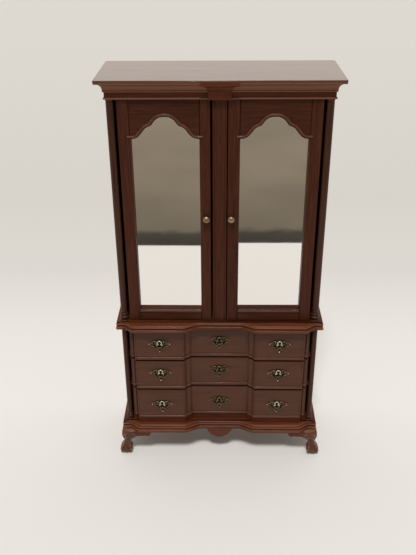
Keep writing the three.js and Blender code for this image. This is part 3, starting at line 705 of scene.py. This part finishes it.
# the leg from the floor up: [share of the height, radius, step in from the ball's axis], in mm
foot_spine = [(0.0, 1.6, 0), (0.02, 2.1, 0), (0.06, 2.75, 0), (0.12, 3.35, 0), (0.18, 3.5, 0),
              (0.24, 3.2, 0), (0.3, 2.55, 0.1), (0.36, 2.1, 0.3), (0.42, 1.95, 0.6), (0.48, 1.95, 0.85),
              (0.54, 2.15, 1.05), (0.6, 2.6, 1.2), (0.67, 2.95, 1.4), (0.74, 3.4, 1.55),
              (0.82, 3.65, 1.75), (0.9, 3.75, 2.0), (0.96, 3.7, 2.25), (1.0, 3.5, 2.45)]
ball_out, foot_reach, ankle = 1.6 * mm, 5.25 * mm, 0.5
front_ball_proud, rear_ball_inset, front_lean = 2.7 * mm, 3.9 * mm, 0.5
# claws and knuckles: places are shares of the height, heights and depths are in mm
claw_sharpness, claw_high, between_deep, grip_fade = 2.5, 0.65, 0.35, 0.16
knuckle_at, knuckle_gap, knuckle_deep = 0.085, 0.115, 0.38
tip_at, tip_fade, tip_high = 0.045, 0.03, 0.1
# the knee's flutes and scallops, and how far it runs on along the front rail
flute_deep, scallop_deep, scallops, scallop_sway = 0.42, 0.2, 30, 2.2
knee_run, run_from, run_fade = 3.4, 0.6, 0.2


def smooth_through(points, steps):
    """A smooth line through the points, with so many steps from each to the next."""
    last = len(points) - 1
    line = []
    for i in range(last):
        a, b, c, d = (Vector(points[max(0, min(last, i + k))]) for k in (-1, 0, 1, 2))
        for step in range(steps):
            t = step / steps
            bend = 2 * a - 5 * b + 4 * c - d
            line.append((2 * b + (c - a) * t + bend * t ** 2 + (3 * b - a - 3 * c + d) * t ** 3) / 2)
    line.append(Vector(points[last]))
    return line


def bump(value, middle, width):
    """1 in the middle, fading to 0 over the width on either side."""
    return math.exp(-((value - middle) / width) ** 2)


def foot_body(node, corner):
    """A leg whose first claw points to the corner, an angle in plan."""
    low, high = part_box(node)
    side = math.copysign(1, low[0])
    is_front = low[1] < 0
    tall = high[2]
    limit = half_case + foot_reach
    ball_x = side * (half_case + ball_out)
    ball_y = front - front_ball_proud if is_front else back - rear_ball_inset
    lean = front_lean if is_front else 0
    rings = []
    for share, radius, step in smooth_through(foot_spine, 3):
        ring = []
        for i in range(foot_sides):
            angle = 2 * math.pi * i / foot_sides
            r = radius
            if share < ankle:
                # four claws: sharp ridges with knuckles, and hollows where the ball shows between them
                claw = max(0, math.cos(4 * (angle - corner))) ** claw_sharpness
                grip = min(1, (ankle - share) / grip_fade)
                wave = math.cos(2 * math.pi * (share - knuckle_at) / knuckle_gap)
                knuckle = 1 - knuckle_deep + knuckle_deep * wave
                r += grip * (claw_high * claw * knuckle - between_deep * (1 - claw))
                r += tip_high * claw * bump(share, tip_at, tip_fade)
            else:
                # the knee: a leaf of hollow flutes with a scalloped edge, deeper towards the case
                leaf = math.sin((share - ankle) / (1 - ankle) * math.pi) ** 0.7
                r += leaf * flute_deep * (abs(math.sin(4 * (angle - corner))) - 0.5)
                sway = scallop_sway * math.cos(4 * (angle - corner))
                r += leaf * scallop_deep * math.sin(scallops * share + sway)
            spread = 0
            if is_front and side * math.cos(angle) < 0:
                # the knee runs on along the front rail, towards the middle of the case
                reached = min(1, max(0, (share - run_from) / run_fade))
                spread = -side * knee_run * abs(math.cos(angle)) * reached
            x = ball_x - side * step * mm + (r * math.cos(angle) + spread) * mm
            y = ball_y + lean * step * mm + r * math.sin(angle) * mm
            ring.append(Vector((max(-limit, min(limit, x)), max(low[1], min(y, back)), share * tall)))
        rings.append(ring)
    piece = built_up(rings)
    smooth(piece, math.radians(60))
    return piece, side, is_front, ball_y


def bracket(along, z_top, drop, thickness, place):
    """A scrolled glue block: place(u, v, z) puts a point along its run, through it and up it."""
    run = [(0, 1.0), (0.25, 1.0), (0.45, 0.97), (0.6, 0.9), (0.68, 0.97), (0.76, 1.0), (0.84, 0.93),
           (0.9, 0.6), (0.95, 0.2), (1.0, 0.02), (1.0, -0.05), (0.5, -0.05), (0, -0.05)]
    outline = [(u * along, z_top - d * drop) for u, d in run]
    piece = built_up([[place(u, v, z) for u, z in outline] for v in (0, thickness)])
    soften(piece, 0.25 * mm, 3, math.radians(50))
    return piece


side_bracket_long, front_bracket_long = 11.5 * mm, 8.6 * mm
bracket_drop, bracket_thick = 2.6 * mm, 1.6 * mm
side_bracket_out, front_bracket_proud, front_bracket_inset = 2.1 * mm, 5.5 * mm, 3.6 * mm
corner_angles = {"front_right": -45, "front_left": -135, "rear_right": 45, "rear_left": 135}

for end in ("front", "rear"):
    for side_name in ("left", "right"):
        node = f"foot_{end}_{side_name}"
        corner = math.radians(corner_angles[f"{end}_{side_name}"])
        body, side, is_front, ball_y = foot_body(node, corner)
        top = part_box(node)[1][2]
        outer = half_case + side_bracket_out
        toward = 1 if is_front else -1
        body.data.materials.append(foot_wood)
        parts = [body]
        parts.append(bracket(side_bracket_long, top, bracket_drop, bracket_thick,
                             lambda u, v, z: Vector((side * (outer - v), ball_y + toward * u, z))))
        if is_front:
            face = front - front_bracket_proud
            start = half_case - front_bracket_inset
            parts.append(bracket(front_bracket_long, top, bracket_drop, bracket_thick,
                                 lambda u, v, z: Vector((side * (start - u), face + v, z))))
        for piece in parts[1:]:
            piece.data.materials.append(bracket_wood)
        fit(join(parts), node, "case", [node], "moulding")

# ---- Pendant ----
# The drop under the middle of the base: one carved lobe between two hollow shoulders, sawn from a
# thin board and rounded over at the front.
pendant_low, pendant_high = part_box("pendant")
pendant_half = pendant_high[0]
pendant_drop = pendant_high[2] - pendant_low[2]
glue_gap = 0.02 * mm


def pendant_outline(shrink):
    """The lobe's front outline, left to right under the base, drawn in from its edge by shrink."""
    points = []
    steps = 40
    for i in range(steps + 1):
        t = -1 + 2 * i / steps
        depth = (1 - abs(t) ** 2.2) ** 0.8
        shoulder = 0.06 * math.cos(3 * math.pi * t) * (1 - abs(t))
        points.append((t * (pendant_half - shrink), (depth * 0.96 + shoulder * 0.5) * pendant_drop))
    deepest = max(z for _, z in points)
    return [(x, pendant_high[2] - z * (pendant_drop - shrink) / deepest - glue_gap) for x, z in points]


pendant_rings = []
for shrink, y in ((0.0, 1.8), (0.0, 0.75), (0.12, 0.4), (0.35, 0.15), (0.8, 0.0), (1.5, -0.1)):
    outline = pendant_outline(shrink * mm)
    outline += [(outline[-1][0], pendant_high[2]), (outline[0][0], pendant_high[2])]
    pendant_rings.append([Vector((x, pendant_low[1] + y * mm, z)) for x, z in outline])
pendant = built_up(pendant_rings)
smooth(pendant, math.radians(50))
fit(pendant, "pendant", "case", ["pendant"], "moulding", bracket_wood)

# ---- Doors ----
# Each door is a frame of two stiles and two rails round a mirror. The bottom rail has a rounded lip
# under the glass, and the top rail is arched, with a raised bead that follows the arch.
rail_wood = wood("rail_mahogany", "x", (0.038, 0.0105, 0.005), (0.08, 0.023, 0.011), 0.0, 0.12,
                 None, (0.1, 0.4, 0.3))
# a lighter copy of the rail's wood: painted highlight on the bead
arch_bead_highlit_wood = wood("bead_mahogany_highlit", "x", (0.08, 0.025, 0.012), (0.15, 0.052, 0.028), 0.1, 0.2,
                 None, (0.5, 0.1, 0.3))


def upright(node, inner_edge):
    """A stile: a plain board with rounded edges, a moulded inner edge and a rebate for the glass."""
    low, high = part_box(node)
    outer_edge = low[0] if abs(low[0] - inner_edge) > abs(high[0] - inner_edge) else high[0]
    inward = math.copysign(1, inner_edge - outer_edge)
    wide = abs(inner_edge - outer_edge) / mm
    deep = (high[1] - low[1]) / mm
    section = [(0, deep), (0, 0.35), (0.1, 0.1), (0.35, 0), (wide - 1.15, 0), (wide - 1.05, 0.08),
               (wide - 0.95, 0.12), (wide - 0.75, 0.1), (wide - 0.4, 0.2), (wide - 0.12, 0.45),
               (wide, 0.8), (wide, deep - 0.52), (wide - 1, deep - 0.52), (wide - 1, deep)]
    plan = [(outer_edge + inward * x * mm, low[1] + y * mm) for x, y in section]
    piece = stood_up(plan, low[2], high[2])
    smooth(piece, math.radians(40))
    return piece


def arch_line(half, springing):
    """The arch from right to left in mm: shelves, hollow shoulders, cusps and a round head."""
    right = [(half, 0), (13.0, 0.1), (12.0, 0.4), (11.1, 0.95), (10.2, 1.85), (9.3, 3.0), (8.5, 4.0),
             (7.7, 4.75), (6.8, 5.2), (6.0, 5.5), (5.35, 6.0), (4.8, 6.75), (4.2, 7.55), (3.3, 8.4),
             (1.9, 9.1)]
    points = right + [(0, 9.3)] + [(-x, z) for x, z in reversed(right)]
    return [Vector((p.x, springing + p.y)) for p in smooth_through(points, 3)]


def heading(line, i):
    """The direction of the line at its point i."""
    return (line[min(i + 1, len(line) - 1)] - line[max(i - 1, 0)]).normalized()


def moved_out(line, distance):
    """The line moved into the wood, with the points dropped where it would cross itself."""
    moved = []
    for i, point in enumerate(line):
        along = heading(line, i)
        shifted = point + Vector((along.y, -along.x)) * distance
        if min((shifted - other).length for other in line) > 0.97 * distance:
            moved.append(shifted)
    return moved


def swept(points, half_wide, half_deep):
    """A bead: a tube along the points, flattened front to back round its own middle."""
    curve = bpy.data.curves.new("bead", "CURVE")
    curve.dimensions = "3D"
    spline = curve.splines.new("POLY")
    spline.points.add(len(points) - 1)
    for target, point in zip(spline.points, points):
        target.co = (*point, 1)
    curve.bevel_depth = half_wide
    curve.bevel_resolution = 3
    curve.use_fill_caps = True
    piece = bpy.data.objects.new("bead", curve)
    bpy.context.collection.objects.link(piece)
    pick(piece)
    bpy.ops.object.convert(target="MESH")
    middle = sum(p[1] for p in points) / len(points)
    for vert in piece.data.vertices:
        vert.co.y = middle + (vert.co.y - middle) * half_deep / half_wide
    return piece


mirror_material = plain_material("silvered_glass", (0.95, 0.94, 0.91), 0.015)
mirror_tree = mirror_material.node_tree
mirror_shader = mirror_tree.nodes["Principled BSDF"]
mirror_shader.inputs["Metallic"].default_value = 1
mirror_coords = mirror_tree.nodes.new("ShaderNodeTexCoord")
haze_scale, clearest, haziest = 90, 0.01, 0.035
mirror_haze = noise(mirror_tree, mirror_coords.outputs["Object"], haze_scale)
mirror_tree.links.new(remapped(mirror_tree, mirror_haze, 0, 1, clearest, haziest),
                      mirror_shader.inputs["Roughness"])
backing_paint = wood("mirror_backing", "z", (0.05, 0.045, 0.04), (0.1, 0.09, 0.08), 0, 0.2)

# each glass sits a hair out of true in its rebate, turned in degrees about x and z
glass_tilt = {"left": (-0.12, -0.12), "right": (0.12, 0.12)}
glass_play, glass_set_in, glass_short = 0.3 * mm, 0.02 * mm, 0.12 * mm
# the bead stands this far outside the arch, and runs on past the opening at its ends, in mm
bead_away, bead_ear = 1.2, 1.3
bead_half_wide, bead_half_deep = 0.45 * mm, 0.42 * mm

for side_name in ("left", "right"):
    body = f"door_{side_name}"
    arch_low, arch_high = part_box(f"{body}_arched_rail")
    rail_low, rail_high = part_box(f"{body}_bottom_rail")
    door_face, door_back = arch_low[1], arch_high[1]
    door_top = arch_high[2]
    centre = (arch_low[0] + arch_high[0]) / 2
    half = (arch_high[0] - arch_low[0]) / 2
    glass_low, glass_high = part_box(f"{body}_mirror")
    glass_face = glass_low[1]

    left_edge, right_edge = arch_low[0], arch_high[0]
    edges = (left_edge, right_edge) if side_name == "left" else (right_edge, left_edge)
    for stile, edge in zip(("hinge_stile", "meeting_stile"), edges):
        node = f"{body}_{stile}"
        fit(upright(node, edge), node, body, [node], "mahogany", frame_wood)

    deep = (door_back - door_face) / mm
    tall = (rail_high[2] - rail_low[2]) / mm
    lip = 1.7
    rail_section = [(0, deep), (0, 0.3), (0.08, 0.1), (0.3, 0), (tall - lip - 0.25, 0),
                    (tall - lip - 0.1, 0.12), (tall - lip, 0.14)]
    rail_section += [(tall - lip / 2 - lip / 2 * math.cos(a), 0.1 - 0.22 * math.sin(a))
                     for a in [math.pi * i / 8 for i in range(1, 6)]]
    rail_section += [(tall - 0.12, 0.35), (tall, 0.7), (tall, deep - 0.52), (tall - 1, deep - 0.52),
                     (tall - 1, deep)]
    rail = built_up([[Vector((x, door_face + y * mm, rail_low[2] + z * mm)) for z, y in rail_section]
                     for x in (rail_low[0], rail_high[0])])
    smooth(rail, math.radians(40))
    node = f"{body}_bottom_rail"
    fit(rail, node, body, [node], "mahogany", rail_wood)

    springing = arch_low[2] / mm
    opening = arch_line(half / mm, springing)
    rings = []
    for y, away in ((glass_face + 0.01 * mm, 0), (door_face + 0.75 * mm, 0),
                    (door_face + 0.45 * mm, 0.12), (door_face + 0.2 * mm, 0.4),
                    (door_face + 0.05 * mm, 0.8)):
        ring = [(-half / mm, door_top / mm), (half / mm, door_top / mm)]
        for i, point in enumerate(opening):
            along = heading(opening, i)
            sideways = 0 if abs(point.x) > half / mm - 0.01 else along.y
            ring.append((point.x + sideways * away, point.y - along.x * away))
        rings.append([Vector((centre + x * mm, y, z * mm)) for x, z in ring])
    arched = built_up(rings)
    smooth(arched, math.radians(50))
    back_strip = box_piece((arch_low[0], glass_face, glass_high[2]), (arch_high[0], door_back, door_top))
    crest = moved_out(opening, bead_away)
    ear = half / mm + bead_ear
    crest = [Vector((ear, crest[0].y))] + crest + [Vector((-ear, crest[-1].y))]
    bead = swept([(centre + p.x * mm, door_face + 0.05 * mm, p.y * mm) for p in crest],
                 bead_half_wide, bead_half_deep)
    smooth(bead, math.radians(60))
    for piece, finish in ((arched, rail_wood), (back_strip, rail_wood), (bead, arch_bead_highlit_wood)):
        piece.data.materials.append(finish)
    node = f"{body}_arched_rail"
    fit(join([arched, back_strip, bead]), node, body, [node], "mahogany")

    glass = box_piece(
        (glass_low[0] + glass_play, glass_face + glass_set_in, glass_low[2] + glass_play),
        (glass_high[0] - glass_play, glass_high[1] - glass_short, glass_high[2] - glass_play))
    soften(glass, 0.04 * mm, 1)
    tilt_x, tilt_z = (math.radians(angle) for angle in glass_tilt[side_name])
    pivot = (Vector(glass_low) + Vector(glass_high)) / 2
    turn = Matrix.Rotation(tilt_z, 4, "Z") @ Matrix.Rotation(tilt_x, 4, "X")
    glass.data.transform(Matrix.Translation(pivot) @ turn @ Matrix.Translation(-pivot))
    fit(glass, f"{body}_mirror", body, [f"{body}_mirror"], "mirror", mirror_material, backing_paint)
    for face in glass.data.polygons:
        face.material_index = 1 if face.normal.y > 0.5 else 0

# ---- Knobs and pivot pins ----
# Small turned brass knobs on the meeting stiles, with a short stem and a mushroom head, dulled to a
# brown gold. The pivot pins are plain brass wire, hidden in the ends of the hinge stiles.


def brass(name, dark, bright, roughness, clean_below=0.4, dark_above=0.65):
    """Antique brass: bright where it is handled, brown in the hollows and in cloudy patches."""
    material = plain_material(name, bright, roughness)
    tree = material.node_tree
    shader = tree.nodes["Principled BSDF"]
    shader.inputs["Metallic"].default_value = 0.9
    patch_scale = 900
    clouds = noise(tree, tree.nodes.new("ShaderNodeTexCoord").outputs["Object"], patch_scale, 3)
    tarnished = mixed(tree, remapped(tree, clouds, clean_below, dark_above), bright, dark)
    handled = [min(1, c * 1.5) for c in bright]
    tree.links.new(worn_lit_and_shaded(tree, tarnished, handled, dark), shader.inputs["Base Color"])
    tree.links.new(remapped(tree, clouds, 0, 1, roughness - 0.08, roughness + 0.15),
                   shader.inputs["Roughness"])
    return material


knob_brass = brass("knob_brass", (0.13, 0.09, 0.05), (0.36, 0.27, 0.16), 0.38)
pin_brass = brass("pin_brass", (0.2, 0.15, 0.08), (0.5, 0.4, 0.22), 0.4)
knob_sides = 32
knob_profile = [(0.75, 0.0), (0.8, 0.12), (0.75, 0.25), (0.5, 0.35), (0.46, 0.8), (0.6, 1.0),
                (1.1, 1.15), (1.4, 1.4), (1.5, 1.7), (1.46, 2.0), (1.3, 2.25), (0.95, 2.5),
                (0.5, 2.66), (0.15, 2.7)]
for side_name in ("left", "right"):
    node = f"door_{side_name}_knob"
    low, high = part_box(node)
    x, z = (low[0] + high[0]) / 2, (low[2] + high[2]) / 2
    rings = [[Vector((x + r * mm * math.cos(a), high[1] - out * mm, z + r * mm * math.sin(a)))
              for a in [2 * math.pi * i / knob_sides for i in range(knob_sides)]]
             for r, out in knob_profile]
    knob = built_up(rings)
    smooth(knob, math.radians(50))
    fit(knob, node, f"door_{side_name}", [node], "brass", knob_brass)
    give(f"door_{side_name}_lower_pin", pin_brass)
    give(f"door_{side_name}_upper_pin", pin_brass)

# ---- Drawer fronts ----
# Each front is one thick board, shaped in plan into a hollow middle between two flat blocks, with
# narrow recessed strips at its ends. A bead stands along its lower edge.
drawer_wood = wood("drawer_mahogany", "x", (0.06555, 0.02106, 0.00918), (0.0989, 0.03348, 0.01581),
                   0.08, 0.22, None, (0.7, 0.2, 0.6))
# a lighter copy of the front's wood: painted highlight along the bead
drawer_bead_highlit_wood = wood("drawer_bead_mahogany_highlit", "x", (0.075, 0.026, 0.0125), (0.115, 0.043, 0.023),
                        0.1, 0.25, None, (0.2, 0.5, 0.6))
# the height of the bead, and how far the front is planed back above it, in mm
bead_tall, planed_back = 1.35, 0.3


def drawer_plan(node):
    """The front's plan, anticlockwise from its rear left corner."""
    low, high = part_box(node)
    half = high[0]
    plane = low[1] + block_out
    right = [(13.0, 0), (13.3, 0.14), (13.5, 0.16), (13.75, 0.0), (14.0, -0.35), (14.5, -0.85),
             (15.1, -1.25), (15.7, -1.6), (16.2, -2.0), (16.5, -2.4), (16.62, -2.75), (16.7, -2.8),
             (16.85, -3.05), (17.1, -3.3), (17.5, -3.3), (17.62, -3.2), (17.74, -3.3), (18.2, -3.3)]
    far = half / mm - 2.8
    right += [(far - 1.0, -3.3), (far - 0.74, -3.3), (far - 0.62, -3.2), (far - 0.5, -3.3),
              (far - 0.15, -3.3), (far + 0.05, -3.15), (far + 0.15, -2.9), (far + 0.25, -1.1),
              (far + 0.5, -0.9), (far + 0.8, -1.1), (far + 1.1, -1.3), (far + 1.8, -1.3),
              (far + 2.1, -1.2), (far + 2.3, -0.9), (far + 2.3, 1.1)]
    right = [(x * mm, plane + y * mm) for x, y in right]
    right += [(half, plane + 1.1 * mm), (half, high[1])]
    return [(-x, y) for x, y in reversed(right)] + right


for name in drawer_names:
    node = f"drawer_{name}_front"
    low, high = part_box(node)
    tall = (high[2] - low[2]) / mm
    profile = [(0.6, 0.0), (0.35, 0.0), (0.15, 0.05)]
    profile += [(0.33 * (1 - math.sin(a)), bead_tall / 2 - bead_tall / 2 * math.cos(a))
                for a in [math.pi * i / 10 for i in range(2, 10)]]
    profile += [(0.42, bead_tall + 0.02), (0.56, bead_tall + 0.1), (0.6, bead_tall + 0.22),
                (0.5, bead_tall + 0.36), (planed_back + 0.04, bead_tall + 0.42),
                (planed_back, bead_tall + 0.6), (planed_back, tall - 0.5), (planed_back, tall - 0.2),
                (planed_back + 0.06, tall - 0.06), (planed_back + 0.2, tall), (planed_back + 0.35, tall)]
    plan = drawer_plan(node)
    rings = []
    for back_by, height in profile:
        ring = [(x, y + back_by * mm if abs(x) < high[0] - 0.1 * mm and y < high[1] - 1.4 * mm else y)
                for x, y in plan]
        rings.append([Vector((x, y, low[2] + height * mm)) for x, y in ring])
    drawer_front = built_up(rings)
    smooth(drawer_front)
    fit(drawer_front, node, f"drawer_{name}", [node], "mahogany", drawer_wood, drawer_bead_highlit_wood)
    for face in drawer_front.data.polygons:
        face.material_index = 1 if face.center.z < low[2] + bead_tall * mm else 0

# ---- Plinth strip ----
# A dark strip glued on the base board, set back a little behind the drawer fronts and shaped like
# them. It closes the space under the bottom drawer.
strip_setback, strip_clearance = 0.9 * mm, 0.25 * mm
bottom_low, bottom_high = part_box("drawer_bottom_front")
strip_plan = [(x, min(y + strip_setback, bottom_high[1]))
              for x, y in drawer_plan("drawer_bottom_front")]
plinth_strip = stood_up(strip_plan, base_high[2], bottom_low[2] - strip_clearance)
smooth(plinth_strip)
plinth_strip.name = "plinth_strip"
plinth_strip.data.materials.append(frieze_wood)
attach(plinth_strip, "case")

# ---- Pulls ----
# Cast brass batwing plates with pierced scrolls, a raised keyhole ring in the middle, a drop handle
# below it and a pointed tip. The casting is dark in its hollows and pale on its high edges. The near
# black plate behind the scrolls is painted shade, for the shadow seen through the piercings.
# the pale brass of the rings, studs and tips is painted highlight where they catch the light, partly
# rubbed wear
pull_rubbed_and_highlit = brass("pull_brass_rubbed_and_highlit", (0.16, 0.13, 0.09), (0.6, 0.55, 0.43), 0.34)
# tarnished brass, also used as painted shade on the middle pulls' rings and studs
pull_dull = brass("pull_tarnished_and_shaded", (0.014, 0.009, 0.006), (0.2, 0.145, 0.085), 0.42, 0.42, 0.54)
pull_shade_backing = brass("pull_backing_painted_shade", (0.008, 0.005, 0.003), (0.025, 0.016, 0.01), 0.6, 0.42, 0.54)
ring_above_foot, plate_faces = 4.0 * mm, (0.25, -0.12)


def scroll(start, turn_from, turn_to, radius_from, radius_to, steps=10):
    """Points along a spiral round start, in mm, angles in degrees."""
    points = []
    for i in range(steps + 1):
        t = i / steps
        a = math.radians(turn_from + (turn_to - turn_from) * t)
        r = radius_from + (radius_to - radius_from) * t
        points.append((start[0] + r * math.cos(a), start[1] + r * math.sin(a)))
    return points


def pull_strokes():
    """The casting's raised lines, each [points, half width, height], in mm, brightest first."""
    ring = [(-1.4, 0.4), (-0.8, 0.6)] + scroll((0, 1.6), 225, -45, 1.0, 1.0, 16)
    ring += [(0.8, 0.6), (1.4, 0.4)]
    bright = [(ring, 0.27, 0.42), ([(-0.12, -3.5), (0.12, -3.5)], 0.22, 0.3)]
    dull = [(scroll((0, 0.55), 205, 335, 1.75, 1.75, 10), 0.2, 0.34)]
    for side in (-1, 1):
        stud = [(1.85, 2.3), (2.05, 2.15)]
        tip = [(4.65, 1.0), (5.05, 0.8)]
        wing = [(1.5, 2.75), (2.1, 2.35), (2.7, 2.5), (3.2, 2.0), (3.8, 1.55), (4.4, 1.6), (4.9, 1.15)]
        curl = scroll((3.3, 0.85), 110, -170, 0.65, 0.3, 9)
        under = [(4.9, 0.55), (4.2, 0.2), (3.6, -0.35), (2.9, -0.45), (2.4, -1.05)]
        point = [(2.1, -1.2), (1.6, -1.85), (1.1, -2.35), (0.6, -2.85), (0.15, -3.45)]
        brace = [(1.5, 0.6), (2.1, 1.15), (2.65, 0.9)]
        heart = scroll((0.55, -1.7), 60, -200, 0.45, 0.25, 7)
        for points, width in ((stud, 0.22), (tip, 0.2)):
            bright.append(([(side * x, z) for x, z in points], width, 0.36))
        for points, width in ((wing, 0.19), (curl, 0.16), (under, 0.17), (point, 0.18), (brace, 0.15),
                              (heart, 0.14)):
            dull.append(([(side * x, z) for x, z in points], width, 0.26))
    return bright, dull


def pull_plate():
    """The plate's outline, clockwise from the top, in mm."""
    half = [(0.6, 2.85), (1.3, 2.5), (1.9, 2.3), (2.6, 2.2), (3.2, 1.7), (4.0, 1.4), (4.7, 0.85),
            (4.2, 0.5), (3.6, 0.0), (2.8, -0.4), (2.3, -1.0), (1.5, -1.7), (0.8, -2.4)]
    return [(0, 2.95)] + half + [(0, -3.2)] + [(-x, z) for x, z in reversed(half)]


for name in drawer_names:
    for place in ("left", "centre", "right"):
        node = f"drawer_{name}_pull_{place}"
        low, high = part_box(node)
        middle = Vector(((low[0] + high[0]) / 2, high[1], low[2] + ring_above_foot))
        plate = built_up([[middle + Vector((x * mm, y * mm, z * mm)) for x, z in pull_plate()]
                          for y in plate_faces])
        plate.data.materials.append(pull_shade_backing)
        parts = [plate]
        bright, dull = pull_strokes()
        # the middle pulls catch no light, so their rings and studs take the dull brass: painted shade
        bright_finish = pull_dull if place == "centre" else pull_rubbed_and_highlit
        for strokes, finish in ((bright, bright_finish), (dull, pull_dull)):
            for points, width, lift in strokes:
                line = swept([middle + Vector((p.x * mm, -lift * mm, p.y * mm))
                              for p in smooth_through(points, 3)], width * mm, width * 0.9 * mm)
                line.data.materials.append(finish)
                smooth(line, math.radians(60))
                parts.append(line)
        fit(join(parts), node, f"drawer_{name}", [node], "brass")
